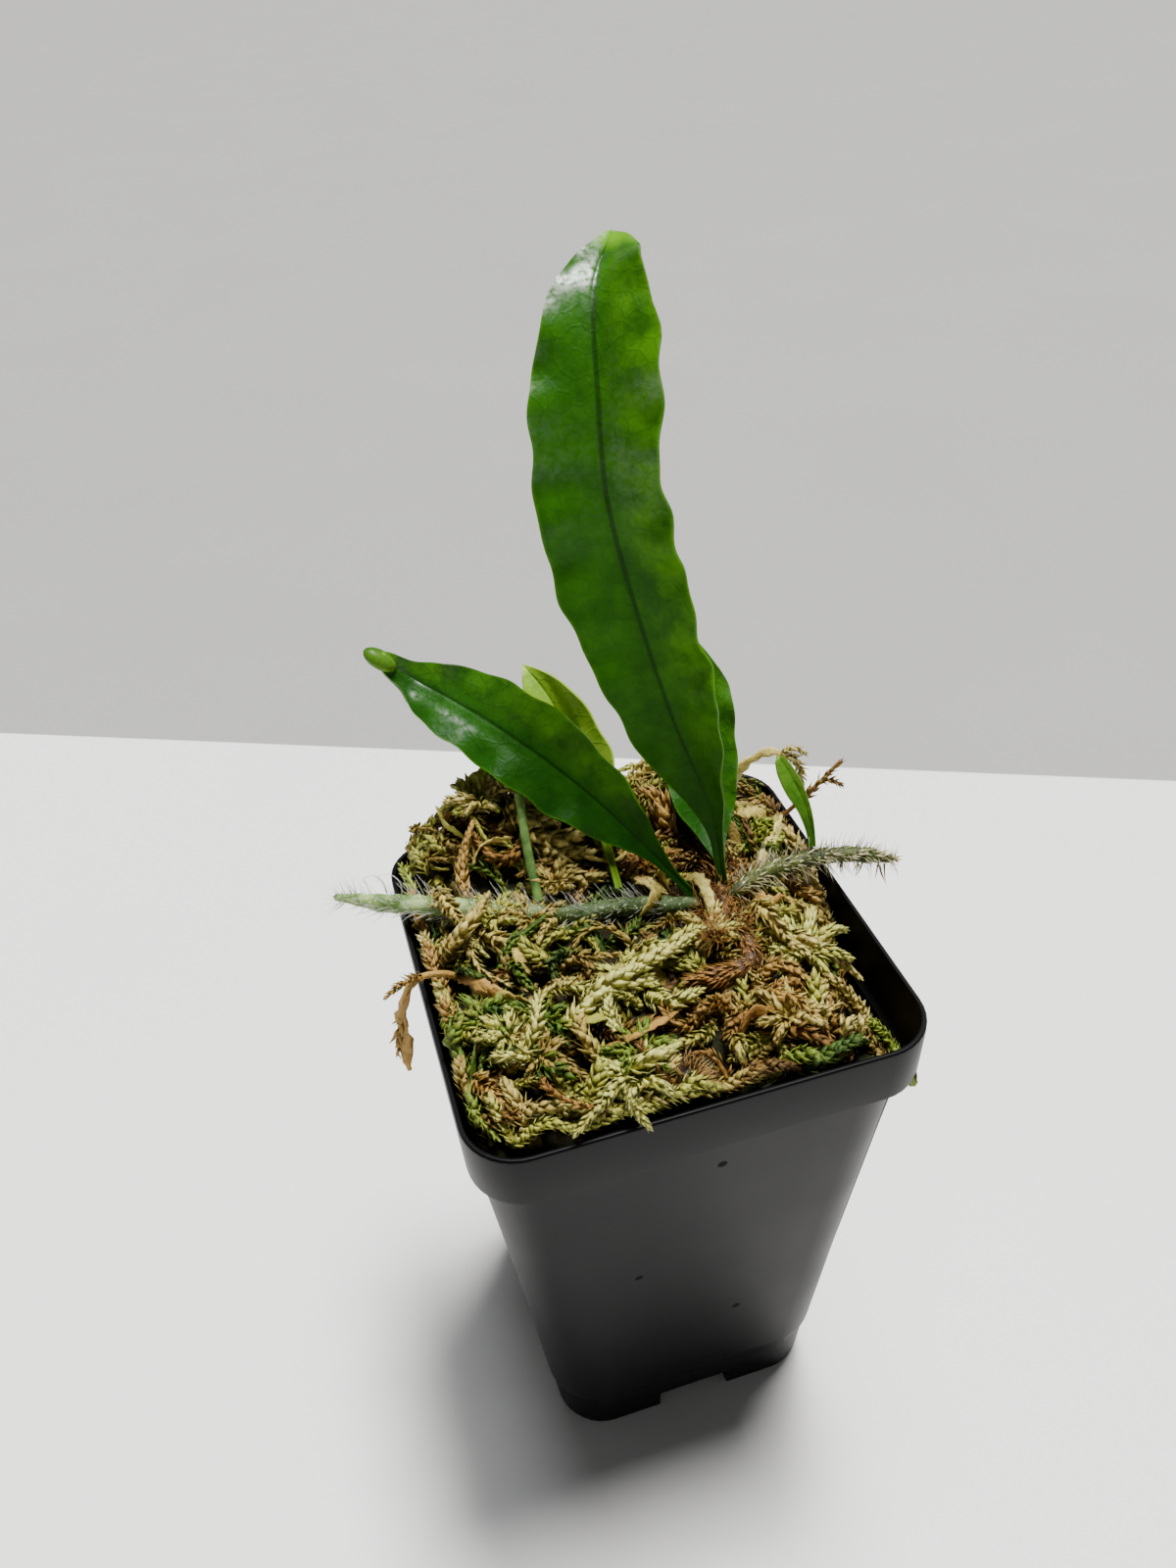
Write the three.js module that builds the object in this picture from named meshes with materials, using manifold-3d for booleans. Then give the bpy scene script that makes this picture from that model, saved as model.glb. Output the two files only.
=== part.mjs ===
// A creeping fern in a square nursery pot: sphagnum, young and old rhizomes, five fronds and a cut stalk.
// Millimetres, +Z up. The origin is the middle of the pot's underside and the front is towards -Y.

import * as THREE from 'three';
import Module from 'manifold-3d';
import { mergeVertices } from 'three/addons/utils/BufferGeometryUtils.js';

const wasm = await Module();
wasm.setup();

// Clearance between neighbours, and the most that a face may move when slivers are merged away
const GAP = 0.3;
const SLIVER = 0.03;

// Pot: a rounded square, given by half its width
const RIM = { half: 31.75, low: 31.5, height: 9.4, corner: 7.6, wall: 0.85 };
const POT = { height: 91.6, shoulder: 30.4, corner: 9.7, wall: 0.9, floor: 1.3 };
const FOOT = { half: 22.3, top: 23.2, height: 11, corner: 8, step: 0.3 };
const NOTCH = { width: 12.4, height: 5, depth: 6 };

// Moss: level inside the rim, mounds and hollow as height, centre and spread
const MOSS = { level: 91.2, bottom: POT.floor + GAP, cells: 12, reach: 31 };
const MOUNDS = [
  { height: 12.5, x: -14, y: 23, wide: 10, deep: 7.5 },
  { height: 7.5, x: 9, y: 23, wide: 6.5, deep: 7 },
  { height: 3.4, x: -4, y: 1, wide: 20, deep: 12 },
  { height: 1.6, x: -12, y: -22, wide: 16, deep: 9 },
];
const HOLLOW = { depth: 15, from: 20, to: 31, y: -18, deep: 10 };
const STRANDS = { rows: 8, seed: 8123, length: 10, thick: 1.35, notch: 0.72 };

// Rhizomes: centre line from the growing tip, thickest radius, and scales that lean to the tip
const RHIZOME_LEFT = {
  line: [[-40.6, 18.2, 96.2], [-34.5, 15, 95.9], [-28.4, 12.4, 95.7], [-21.8, 9.4, 95.6],
    [-14, 5.8, 95.4], [-7.4, 3.4, 95.3], [-1, 2.6, 95.2], [6.4, 0.4, 95], [12.4, -0.8, 94.9]],
  radius: 1.35, scales: 10, scale: 0.7, seed: 31,
};
const RHIZOME_RIGHT = {
  line: [[38.6, -3, 96.6], [34.2, -0.4, 96.8], [28.8, 1.2, 96.8], [24, 1.2, 96.8], [19, 1, 96.5],
    [15.8, -0.2, 96], [12.8, -0.8, 95.2]],
  radius: 1.15, scales: 22, scale: 1, seed: 58,
};
const RHIZOME_OLD = {
  line: [[3, -13.6, 94.6], [8.6, -13.8, 94.3], [12.2, -12.4, 94.2], [12.6, -8.8, 94.4],
    [11.8, -4.4, 94.4], [12.6, -0.8, 94.9], [14.4, 4.6, 95.6]],
  radius: 1.45, scales: 20, scale: 1.1, seed: 73, until: 0.72,
};
const RHIZOME_END = {
  line: [[-2.6, -28.6, 93], [-2.8, -26, 92], [-3.2, -23.5, 90.8]],
  radius: 1.5, scales: 15, scale: 2.4, seed: 123, until: 0.45, nest: 4.4,
};

// Fronds: midrib from stalk to tip, half widths at even steps along it, rise of each half in degrees
const FROND_TALL = {
  midrib: [[13.6, 1.4, 96], [12.9, 5, 107.6], [9.2, 9.6, 121], [5.8, 14, 137], [3.7, 17.4, 151],
    [4.2, 21, 162.6], [6.3, 28, 172.6], [11.5, 36.5, 177]],
  across: [[0.955, -0.29, -0.05], [0.955, -0.29, -0.05]],
  left: [0.8, 1.1, 3.4, 5.9, 7.2, 8.3, 9.2, 9.2, 8.9, 8.9, 6.9, 4.8, 0.7],
  right: [0.8, 1.1, 3.5, 6.2, 7.9, 7.9, 8.3, 8.2, 7.8, 8.7, 8.6, 5.6, 0.7],
  rise: [4, 26], steps: 34, wave: 0.9, pitch: 9.5,
};
const FROND_LEFT = {
  midrib: [[9.2, 0.8, 95.4], [4.8, 6.1, 100.3], [-2.5, 14.2, 108.2], [-10.8, 23.1, 114.2],
    [-17, 30.4, 117], [-22, 35.8, 118.8], [-27, 37.6, 123.2]],
  across: [[0.55, 0.25, 0.8], [0.62, 0.5, 0.6]],
  left: [0.7, 0.7, 1.6, 3.8, 5.4, 6.3, 6.5, 6.5, 6.3, 5.8, 5, 3, 1.2],
  right: [0.7, 0.8, 2.3, 4.1, 5.2, 6, 6.8, 6.8, 6.3, 5.6, 4, 1.9, 1.2],
  rise: [12, 8], steps: 24, wave: 0.5, pitch: 11,
};
const FROND_LIGHT = {
  midrib: [[-1.2, 4.3, 97], [-0.8, 9, 98.6], [-0.6, 15.5, 101], [-1.3, 22, 107], [-2.8, 29.4, 114],
    [-5.6, 35, 118]],
  across: [[0.9, -0.2, 0.1], [0.8, -0.1, 0.3]],
  left: [0.6, 0.6, 1, 2.7, 4.5, 5.6, 5.2, 3.8, 0.6],
  right: [0.6, 0.6, 1.2, 4.3, 6.2, 5.9, 5.1, 2.9, 0.6],
  rise: [30, 30], steps: 16, wave: 0.3, pitch: 12,
};
const FROND_BEHIND = {
  midrib: [[14.4, 3.8, 96.4], [15.7, 11.6, 99.4], [17, 19.6, 107.2], [18.4, 24.4, 113.8],
    [20, 28.4, 119.9]],
  across: [[0.955, -0.29, -0.05], [0.955, -0.29, -0.05]],
  left: [0.6, 2.2, 4.6, 5.7, 5.8, 5.5, 5, 3.4, 0.6],
  right: [0.6, 1.5, 3.4, 4.9, 5.4, 5.6, 5.3, 3.8, 0.6],
  rise: [10, 10], steps: 16, wave: 0.4, pitch: 10,
};
const FROND_YOUNG = {
  midrib: [[27.8, 2.2, 98.2], [28.1, 3.4, 100.2], [27.8, 5, 103.4], [26.7, 7.8, 107], [25.5, 10.4, 109.6]],
  across: [[0.955, -0.29, -0.05], [0.955, -0.29, -0.05]],
  left: [0.6, 0.8, 1.2, 1.6, 1.9, 1.7, 0.7],
  right: [0.6, 0.6, 0.7, 0.9, 1.1, 1, 0.7],
  rise: [12, 30], steps: 9, wave: 0.1, pitch: 8,
};
const STUB = { line: [[-12.6, 6.4, 96.6], [-12.4, 12, 102], [-11.6, 18, 107.4]], radius: 0.72 };

// Loose moss: lines of each shoot and its radius
const SHOOTS = {
  moss_arch: { colour: 0xc9b27c, radius: 0.8, lines: [
    [[19.6, 19.6, 90.6], [21.7, 19.2, 97], [22.7, 19, 100], [24.6, 19, 102.6], [27.8, 19, 103.8],
      [31, 18.8, 102.4], [33.2, 18.4, 99.6], [33.6, 17.6, 96]]] },
  moss_red_stem: { colour: 0x8a4a2e, radius: 0.7, lines: [
    [[25.6, 16, 90], [29.4, 15, 94], [33.4, 14, 98.6], [38.2, 14, 103.2]]] },
  moss_hanging: { colour: 0x9a6f45, radius: 0.8, lines: [
    [[-24.4, -1.4, 92], [-28.6, -1.6, 95.4], [-32.6, -1.6, 95.4], [-34.8, -1.8, 91], [-35.4, -2, 85],
      [-35.6, -2.2, 78]],
    [[-30.6, -1.6, 95.6], [-34.4, -3, 96.6], [-36.6, -3.4, 95.4]]] },
  moss_pale_middle: { colour: 0xcfc88a, radius: 1.1, lines: [
    [[-16, -16.4, 93], [-11, -14.6, 97.4], [-3.6, -12, 98.4], [3, -9.6, 97.6], [6.6, -7, 96.4]],
    [[-9, -20, 93.6], [-9.4, -16, 97.4], [-7.6, -12.4, 98.4]]] },
  moss_pale_front: { colour: 0xd6cf94, radius: 0.9, lines: [
    [[-25.4, -17, 93.4], [-21.6, -19.6, 96.4], [-19.4, -17.4, 97.4], [-17.4, -12, 97], [-12.4, -9.6, 96.4]],
    [[-15.4, -10.4, 96.6], [-11, -12.6, 97], [-10.2, -18, 96]]] },
  moss_front_rim: { colour: 0xc8bb80, radius: 1, lines: [
    [[-6.8, -20.6, 92], [-9.2, -24.8, 94.4], [-13.6, -28.4, 94.8], [-18.6, -31.4, 93.8]],
    [[-10.8, -26.6, 94.6], [-10.6, -31, 94.6], [-9.8, -33.6, 93.4]]] },
  moss_green_left: { colour: 0x5f7d2a, radius: 0.8, lines: [
    [[-31, -13, 94], [-27.6, -10.6, 95], [-23, -9, 95], [-18.4, -8.6, 93]],
    [[-26, -10, 95.2], [-25.4, -14, 94.4], [-27, -17, 92.6]]] },
  moss_straw_right: { colour: 0xc0a266, radius: 1.1, lines: [
    [[12.6, -17, 90], [15.4, -21, 93.6], [17.4, -22.6, 94], [19.4, -19.4, 93.6], [20.4, -17, 91.6]]] },
  moss_fingers: { colour: 0xcdb98a, radius: 0.9, lines: [
    [[15, -7, 90.6], [19.6, -9.8, 93.6], [23.4, -14.6, 93.4], [26, -18.4, 91.4]],
    [[17, -8.4, 92.6], [20, -13.6, 93.8], [20.6, -16.4, 93]]] },
};

const vector = ([x, y, z]) => new THREE.Vector3(x, y, z);
const random = (seed) => () => (seed = (seed * 16807) % 2147483647) / 2147483647;
const hill = (value, spread) => Math.exp(-0.5 * (value / spread) ** 2);

// Value at u from 0 to 1 of a smooth line through evenly spaced numbers
function along(list, u) {
  const place = Math.min(u, 0.99999) * (list.length - 1);
  const i = Math.floor(place);
  const f = place - i;
  const a = list[Math.max(i - 1, 0)];
  const [b, c] = [list[i], list[i + 1]];
  const d = list[Math.min(i + 2, list.length - 1)];
  return b + 0.5 * f * (c - a + f * (2 * a - 5 * b + 4 * c - d + f * (3 * (b - c) + d - a)));
}

function geometryOf(points, faces) {
  const geometry = new THREE.BufferGeometry();
  geometry.setAttribute('position', new THREE.Float32BufferAttribute(points.flat(), 3));
  geometry.setIndex(faces.flat());
  return geometry;
}

function solid(geometry) {
  const plain = geometry.index ? geometry.clone() : mergeVertices(geometry.clone());
  for (const name of ['normal', 'uv']) plain.deleteAttribute(name);
  const merged = mergeVertices(plain, 1e-5);
  return new wasm.Manifold(new wasm.Mesh({
    numProp: 3,
    vertProperties: new Float32Array(merged.attributes.position.array),
    triVerts: new Uint32Array(merged.index.array),
  }));
}

const join = (pieces) => pieces.reduce((sum, piece) => sum.add(piece));
const cut = (piece, tools) => tools.reduce((left, tool) => left.subtract(tool), piece);

// The largest body of a solid, back as geometry
function geometryFrom(manifold) {
  const body = manifold.decompose().reduce((a, b) => (a.volume() > b.volume() ? a : b));
  const mesh = body.asOriginal().simplify(SLIVER).getMesh();
  const geometry = new THREE.BufferGeometry();
  geometry.setAttribute('position', new THREE.BufferAttribute(mesh.vertProperties, 3));
  geometry.setIndex(new THREE.BufferAttribute(mesh.triVerts, 1));
  return geometry;
}

// Rounded square loop at one height
function squareLoop(half, corner, z) {
  const loop = [];
  for (let side = 0; side < 4; side++) {
    for (let i = 0; i <= 6; i++) {
      const angle = (side + i / 6) * Math.PI / 2;
      const middle = (side + 0.5) * Math.PI / 2;
      loop.push([
        (half - corner) * Math.sign(Math.cos(middle)) + corner * Math.cos(angle),
        (half - corner) * Math.sign(Math.sin(middle)) + corner * Math.sin(angle),
        z,
      ]);
    }
  }
  return loop;
}

// Skin over loops of equal length, closed by a fan at each end
function loft(loops) {
  const count = loops[0].length;
  const points = loops.flat();
  const faces = [];
  for (let k = 0; k < loops.length - 1; k++) {
    for (let i = 0; i < count; i++) {
      const a = k * count + i;
      const b = k * count + (i + 1) % count;
      faces.push([a, b, b + count], [a, b + count, a + count]);
    }
  }
  const last = (loops.length - 1) * count;
  points.push([0, 0, loops[0][0][2]], [0, 0, loops.at(-1)[0][2]]);
  for (let i = 0; i < count; i++) {
    const next = (i + 1) % count;
    faces.push([points.length - 2, next, i], [points.length - 1, last + i, last + next]);
  }
  return geometryOf(points, faces);
}

function potGeometry() {
  const { half, low, height, corner, wall } = RIM;
  const band = POT.height - height;
  const outer = [
    [FOOT.half - 0.4, FOOT.corner, 0],
    [FOOT.half, FOOT.corner, 0.5],
    [FOOT.top, FOOT.corner + 0.1, FOOT.height],
    [FOOT.top + FOOT.step, FOOT.corner + 0.2, FOOT.height + 0.4],
    [POT.shoulder, POT.corner, band - 0.3],
    [low - 0.15, corner + 0.1, band],
    [low, corner, band + 0.6],
    [half, corner, POT.height - 0.5],
    [half - 0.25, corner, POT.height],
  ];
  const inner = [
    [half - wall + 0.15, corner - 0.5, POT.height],
    [half - wall, corner - 0.6, POT.height - 0.4],
    [low - wall, corner - 0.6, band + 1.2],
    [POT.shoulder - POT.wall, POT.corner - 0.6, band + 0.6],
    [FOOT.top + FOOT.step - POT.wall, FOOT.corner - 0.6, FOOT.height],
    [FOOT.half - POT.wall, FOOT.corner - 0.7, POT.floor],
  ];
  const shell = solid(loft([...outer, ...inner].map((ring) => squareLoop(...ring))));
  const box = new THREE.BoxGeometry(NOTCH.width, NOTCH.depth * 2, NOTCH.height * 2);
  box.translate(0, FOOT.half, 0);
  const notches = [0, 1, 2, 3].map((turn) => solid(box.clone().rotateZ(turn * Math.PI / 2)));
  return geometryFrom(cut(shell, notches));
}

// Height of the moss surface over the pot's middle plane
function mossHeight(x, y) {
  let z = MOSS.level;
  for (const mound of MOUNDS) {
    z += mound.height * hill(x - mound.x, mound.wide) * hill(y - mound.y, mound.deep);
  }
  const side = THREE.MathUtils.smoothstep(x, HOLLOW.from, HOLLOW.to);
  z -= HOLLOW.depth * side * hill(y - HOLLOW.y, HOLLOW.deep);
  const edge = THREE.MathUtils.smoothstep(Math.max(Math.abs(x), Math.abs(y)), 24, 31);
  z -= edge * (1.5 + 0.55 * Math.max(0, z - MOSS.level));
  return z + 0.7 * Math.sin(0.7 * x + 0.3 * y) * Math.sin(0.62 * y - 0.25 * x + 1);
}

// Room inside the pot, less the clearance
function potRoom() {
  const rings = [
    [FOOT.half - POT.wall - GAP, FOOT.corner - 0.8, MOSS.bottom],
    [FOOT.top + FOOT.step - POT.wall - GAP, FOOT.corner - 0.8, FOOT.height],
    [POT.shoulder - POT.wall - GAP, POT.corner - 0.8, POT.height - RIM.height + 0.5],
    [RIM.low - RIM.wall - GAP, RIM.corner - 0.8, POT.height - RIM.height + 1.6],
    [RIM.low - RIM.wall - GAP, RIM.corner - 0.8, 120],
  ];
  return solid(loft(rings.map((ring) => squareLoop(...ring))));
}

function mossCore() {
  const { cells, reach } = MOSS;
  const block = new THREE.BoxGeometry(2 * reach, 2 * reach, 1, cells, cells, 1);
  const spots = block.attributes.position;
  for (let i = 0; i < spots.count; i++) {
    const top = spots.getZ(i) > 0;
    spots.setZ(i, top ? mossHeight(spots.getX(i), spots.getY(i)) : MOSS.bottom - 1);
  }
  return solid(block);
}

// Round bar bent along a line, its radius given at u from 0 to 1
function bar(line, radiusAt, sides = 6, steps = 8) {
  const curve = new THREE.CatmullRomCurve3(line.map(vector), false, 'centripetal');
  const frames = curve.computeFrenetFrames(steps, false);
  const geometry = new THREE.CylinderGeometry(1, 1, 1, sides, steps);
  const spots = geometry.attributes.position;
  for (let i = 0; i < spots.count; i++) {
    const [x, y, z] = [spots.getX(i), spots.getY(i), spots.getZ(i)];
    const step = Math.round((y + 0.5) * steps);
    const radius = radiusAt(step / steps);
    const spot = curve.getPointAt(step / steps);
    spot.addScaledVector(frames.normals[step], x * radius);
    spot.addScaledVector(frames.binormals[step], -z * radius);
    spots.setXYZ(i, spot.x, spot.y, spot.z);
  }
  return geometry;
}

// Flat pointed scale that grows out of a bar
function scaleSpike(root, out, forward, length, width) {
  const side = new THREE.Vector3().crossVectors(out, forward).normalize();
  const lean = out.clone().multiplyScalar(0.75).addScaledVector(forward, 0.66).normalize();
  const cone = new THREE.ConeGeometry(width, length, 4, 1);
  const frame = new THREE.Matrix4().makeBasis(
    side, lean, new THREE.Vector3().crossVectors(side, lean));
  cone.scale(1, 1, 0.6).translate(0, length / 2, 0).applyMatrix4(frame);
  return cone.translate(root.x, root.y, root.z);
}

const tipped = (radius) => (u) => radius * Math.min(1, 0.35 + u * 5, 0.5 + (1 - u) * 4);

function rhizome({ line, radius, scales, scale, seed, until = 0.96 }) {
  const steps = Math.max(6, line.length * 3);
  const profile = tipped(radius);
  const next = random(seed);
  const curve = new THREE.CatmullRomCurve3(line.map(vector), false, 'centripetal');
  const pieces = [solid(bar(line, profile, 8, steps))];
  for (let i = 0; i < scales; i++) {
    const u = 0.03 + (until - 0.03) * (i + next() * 0.6) / scales;
    const forward = curve.getTangentAt(u);
    const angle = i * 2.4 + next();
    const sideways = new THREE.Vector3(-forward.y, forward.x, 0).normalize();
    const upward = new THREE.Vector3().crossVectors(forward, sideways).normalize();
    const out = sideways.multiplyScalar(Math.cos(angle)).addScaledVector(upward, Math.sin(angle));
    out.z = Math.abs(out.z);
    const root = curve.getPointAt(u).addScaledVector(out, profile(u) * 0.5);
    const reach = profile(u) * 0.5 + scale * (0.8 + 0.5 * next());
    pieces.push(solid(scaleSpike(root, out, forward.negate(), reach, 0.42)));
  }
  return join(pieces);
}

// A line made longer at both ends by the clearance
function longer(line) {
  const spots = line.map(vector);
  const ends = [[spots[0], spots[1]], [spots.at(-1), spots.at(-2)]].map(([end, next]) => (
    end.clone().add(end.clone().sub(next).setLength(GAP)).toArray()));
  return [ends[0], ...line.slice(1, -1), ends[1]];
}

// The bar of a line, wider and longer by the clearance
function fat(line, radius) {
  return solid(bar(longer(line), () => radius + GAP, 8, Math.max(6, line.length * 3)));
}

// Waved blade with its midrib and stalk
const COLUMNS = [-1, -0.6, -0.2, 0, 0.2, 0.6, 1];

function frond({ midrib, across, left, right, rise, steps, wave, pitch }) {
  const curve = new THREE.CatmullRomCurve3(midrib.map(vector), false, 'centripetal');
  const length = curve.getLength();
  const faces = [];
  const upper = [];
  const lower = [];
  for (let i = 0; i <= steps; i++) {
    const u = i / steps;
    const spot = curve.getPointAt(u);
    const tangent = curve.getTangentAt(u);
    const width = vector(across[0]).lerp(vector(across[1]), u);
    width.addScaledVector(tangent, -width.dot(tangent)).normalize();
    const face = new THREE.Vector3().crossVectors(width, tangent);
    const rib = 0.5 + 0.5 * (1 - u);
    for (const column of COLUMNS) {
      const half = Math.abs(column) * along(column < 0 ? left : right, u);
      const angle = THREE.MathUtils.degToRad(column < 0 ? rise[0] : rise[1]) * Math.min(1, half / 3);
      const ripple = wave * Math.sin(2 * Math.PI * u * length / pitch + (column < 0 ? 0 : 2))
        * Math.abs(column) ** 1.5 * THREE.MathUtils.smoothstep(half, 1.5, 5);
      const edge = width.clone().multiplyScalar(Math.sign(column) * Math.cos(angle));
      edge.addScaledVector(face, Math.sin(angle));
      const normal = face.clone().multiplyScalar(Math.cos(angle));
      normal.addScaledVector(width, -Math.sign(column) * Math.sin(angle));
      const middle = spot.clone().addScaledVector(edge, half).addScaledVector(normal, ripple);
      const thick = 0.31 + 0.5 * rib * Math.exp(-((half / 0.9) ** 2));
      upper.push(middle.clone().addScaledVector(normal, 0.31).toArray());
      lower.push(middle.addScaledVector(normal, -thick).toArray());
    }
  }
  const row = COLUMNS.length;
  const under = upper.length;
  for (let i = 0; i < steps; i++) {
    for (let j = 0; j < row - 1; j++) {
      const [a, b, c, d] = [i * row + j, i * row + j + 1, (i + 1) * row + j + 1, (i + 1) * row + j];
      faces.push([a, b, c], [a, c, d], [under + a, under + c, under + b], [under + a, under + d, under + c]);
    }
    for (const [j, flip] of [[0, 1], [row - 1, 0]]) {
      const [a, d] = [i * row + j, (i + 1) * row + j];
      faces.push(...(flip
        ? [[a, d, under + d], [a, under + d, under + a]]
        : [[a, under + d, d], [a, under + a, under + d]]));
    }
  }
  for (let j = 0; j < row - 1; j++) {
    const [a, b] = [j, j + 1];
    const [c, d] = [steps * row + j, steps * row + j + 1];
    faces.push([a, under + b, b], [a, under + a, under + b], [c, d, under + d], [c, under + d, under + c]);
  }
  return geometryOf([...upper, ...lower], faces);
}

// Seeded shoots that rise from the moss surface and bend back to it
function strands() {
  const next = random(STRANDS.seed);
  const pieces = [];
  const { rows } = STRANDS;
  for (let i = 0; i < rows ** 2; i++) {
    const x = 54 * ((i % rows + next()) / rows - 0.5);
    const y = 54 * ((Math.floor(i / rows) + next()) / rows - 0.5);
    const heading = next() * 2 * Math.PI;
    const reach = STRANDS.length * (0.6 + 0.7 * next());
    const curl = (next() - 0.5) * 1.6;
    const height = 1.2 + 1.8 * next();
    const radius = STRANDS.thick * (0.7 + 0.6 * next());
    const line = [0, 0.33, 0.67, 1].map((u) => {
      const turn = heading + curl * u;
      const px = THREE.MathUtils.clamp(x + Math.cos(turn) * reach * (u - 0.5), -28.4, 28.4);
      const py = THREE.MathUtils.clamp(y + Math.sin(turn) * reach * (u - 0.5), -28.4, 28.4);
      const lift = [-1.6, 0.5, 0.8, 0.2][Math.round(u * 3)];
      return [px, py, mossHeight(px, py) + lift * height];
    });
    const profile = (u) => radius * (1.05 - 0.5 * u) * (Math.round(u * 6) % 2 ? 1 : STRANDS.notch);
    pieces.push(solid(bar(line, profile, 4, 6)));
  }
  return pieces;
}

function looseShoots({ lines, radius }, grow = 0) {
  return join(lines.map((line, k) => {
    const thick = radius * (k ? 0.8 : 1);
    const steps = line.length * 2;
    const route = grow ? longer(line) : line;
    return solid(bar(route, (u) => thick * (1.1 - 0.55 * u) + grow, grow ? 7 : 6, steps));
  }));
}

const group = new THREE.Group();

function add(name, geometry, color, roughness = 0.85, metalness = 0) {
  const mesh = new THREE.Mesh(geometry, new THREE.MeshStandardMaterial({ color, roughness, metalness }));
  mesh.name = name;
  geometry.computeVertexNormals();
  group.add(mesh);
}

const rhizomes = [RHIZOME_LEFT, RHIZOME_RIGHT, RHIZOME_OLD, RHIZOME_END];
const seats = rhizomes.map(({ line, radius, scale }) => fat(line, radius + 0.2 * scale));
const clearances = rhizomes.map(({ line, radius, scale }) => fat(line, radius + scale));
const nest = new THREE.SphereGeometry(RHIZOME_END.nest, 12, 8);
nest.translate(...RHIZOME_END.line[0]);
clearances.push(solid(nest), fat(STUB.line, STUB.radius));
for (const { midrib } of [FROND_TALL, FROND_LEFT, FROND_LIGHT, FROND_BEHIND]) {
  clearances.push(fat(midrib.slice(0, 3), 1.2));
}

add('pot', potGeometry(), 0x232527, 0.42);

const oldGroove = fat(RHIZOME_OLD.line, RHIZOME_OLD.radius);
const leftGroove = fat(RHIZOME_LEFT.line, RHIZOME_LEFT.radius);
const rightGroove = fat(RHIZOME_RIGHT.line, RHIZOME_RIGHT.radius);
add('rhizome_old', geometryFrom(rhizome(RHIZOME_OLD)), 0x8c5a34);
add('rhizome_left', geometryFrom(cut(rhizome(RHIZOME_LEFT), [oldGroove])), 0x93a26a);
add('rhizome_right', geometryFrom(cut(rhizome(RHIZOME_RIGHT), [oldGroove, leftGroove])), 0x8f8a58);
add('rhizome_end', geometryFrom(rhizome(RHIZOME_END)), 0x5c4330);

const stalkCuts = [leftGroove, rightGroove, oldGroove];
const fronds = [
  ['frond_tall', FROND_TALL, 0x3f8a22],
  ['frond_left', FROND_LEFT, 0x2f6a2b],
  ['frond_light', FROND_LIGHT, 0x7fa43a],
  ['frond_behind', FROND_BEHIND, 0x35642e],
  ['frond_young', FROND_YOUNG, 0x4f8a36],
];
for (const [name, shape, color] of fronds) {
  add(name, geometryFrom(cut(solid(frond(shape)), stalkCuts)), color, 0.35);
}
const stub = solid(bar(STUB.line, () => STUB.radius, 8, 5));
add('petiole_stub', geometryFrom(cut(stub, stalkCuts)), 0x557a2e, 0.5);

const shootGrooves = [];
for (const [name, shoot] of Object.entries(SHOOTS)) {
  add(name, geometryFrom(cut(looseShoots(shoot), [...clearances, ...shootGrooves])), shoot.colour);
  shootGrooves.push(looseShoots(shoot, GAP));
}

const bed = cut(mossCore(), [...seats, solid(nest)]).add(cut(join(strands()), clearances));
add('moss_bed', geometryFrom(cut(bed.intersect(potRoom()), shootGrooves)), 0xb49a5e);

export default group;
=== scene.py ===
# A creeping fern in a square nursery pot, dressed around its CAD model.
# Blender works in metres; the shapes below are given in millimetres and scaled by mm.
import bmesh
import bpy
import math
import random
import numpy as np
from mathutils import Matrix, Vector


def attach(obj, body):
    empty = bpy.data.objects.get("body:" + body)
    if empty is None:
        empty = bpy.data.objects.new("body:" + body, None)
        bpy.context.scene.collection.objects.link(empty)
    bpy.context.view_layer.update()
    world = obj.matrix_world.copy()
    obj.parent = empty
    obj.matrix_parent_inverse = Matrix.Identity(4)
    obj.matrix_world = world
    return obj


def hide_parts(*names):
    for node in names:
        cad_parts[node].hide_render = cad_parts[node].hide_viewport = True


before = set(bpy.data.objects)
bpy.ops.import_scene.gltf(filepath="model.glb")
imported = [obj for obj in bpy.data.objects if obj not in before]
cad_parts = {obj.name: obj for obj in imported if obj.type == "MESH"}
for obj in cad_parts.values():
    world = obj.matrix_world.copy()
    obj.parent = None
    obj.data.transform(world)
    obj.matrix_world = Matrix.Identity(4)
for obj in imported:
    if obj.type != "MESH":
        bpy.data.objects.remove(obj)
bpy.ops.object.select_all(action="DESELECT")
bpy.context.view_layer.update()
mm = 0.001
print("frame loaded")


# finishes

class Wire:
    # a shader socket that can be used in sums
    def __init__(self, finish, socket):
        self.finish, self.socket = finish, socket

    def sum(self, operation, first, second):
        return self.finish.node("ShaderNodeMath", {"operation": operation}, {0: first, 1: second})

    def __add__(self, other):
        return self.sum("ADD", self, other)

    def __radd__(self, other):
        return self.sum("ADD", other, self)

    def __sub__(self, other):
        return self.sum("SUBTRACT", self, other)

    def __rsub__(self, other):
        return self.sum("SUBTRACT", other, self)

    def __mul__(self, other):
        return self.sum("MULTIPLY", self, other)

    def __rmul__(self, other):
        return self.sum("MULTIPLY", other, self)


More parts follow.
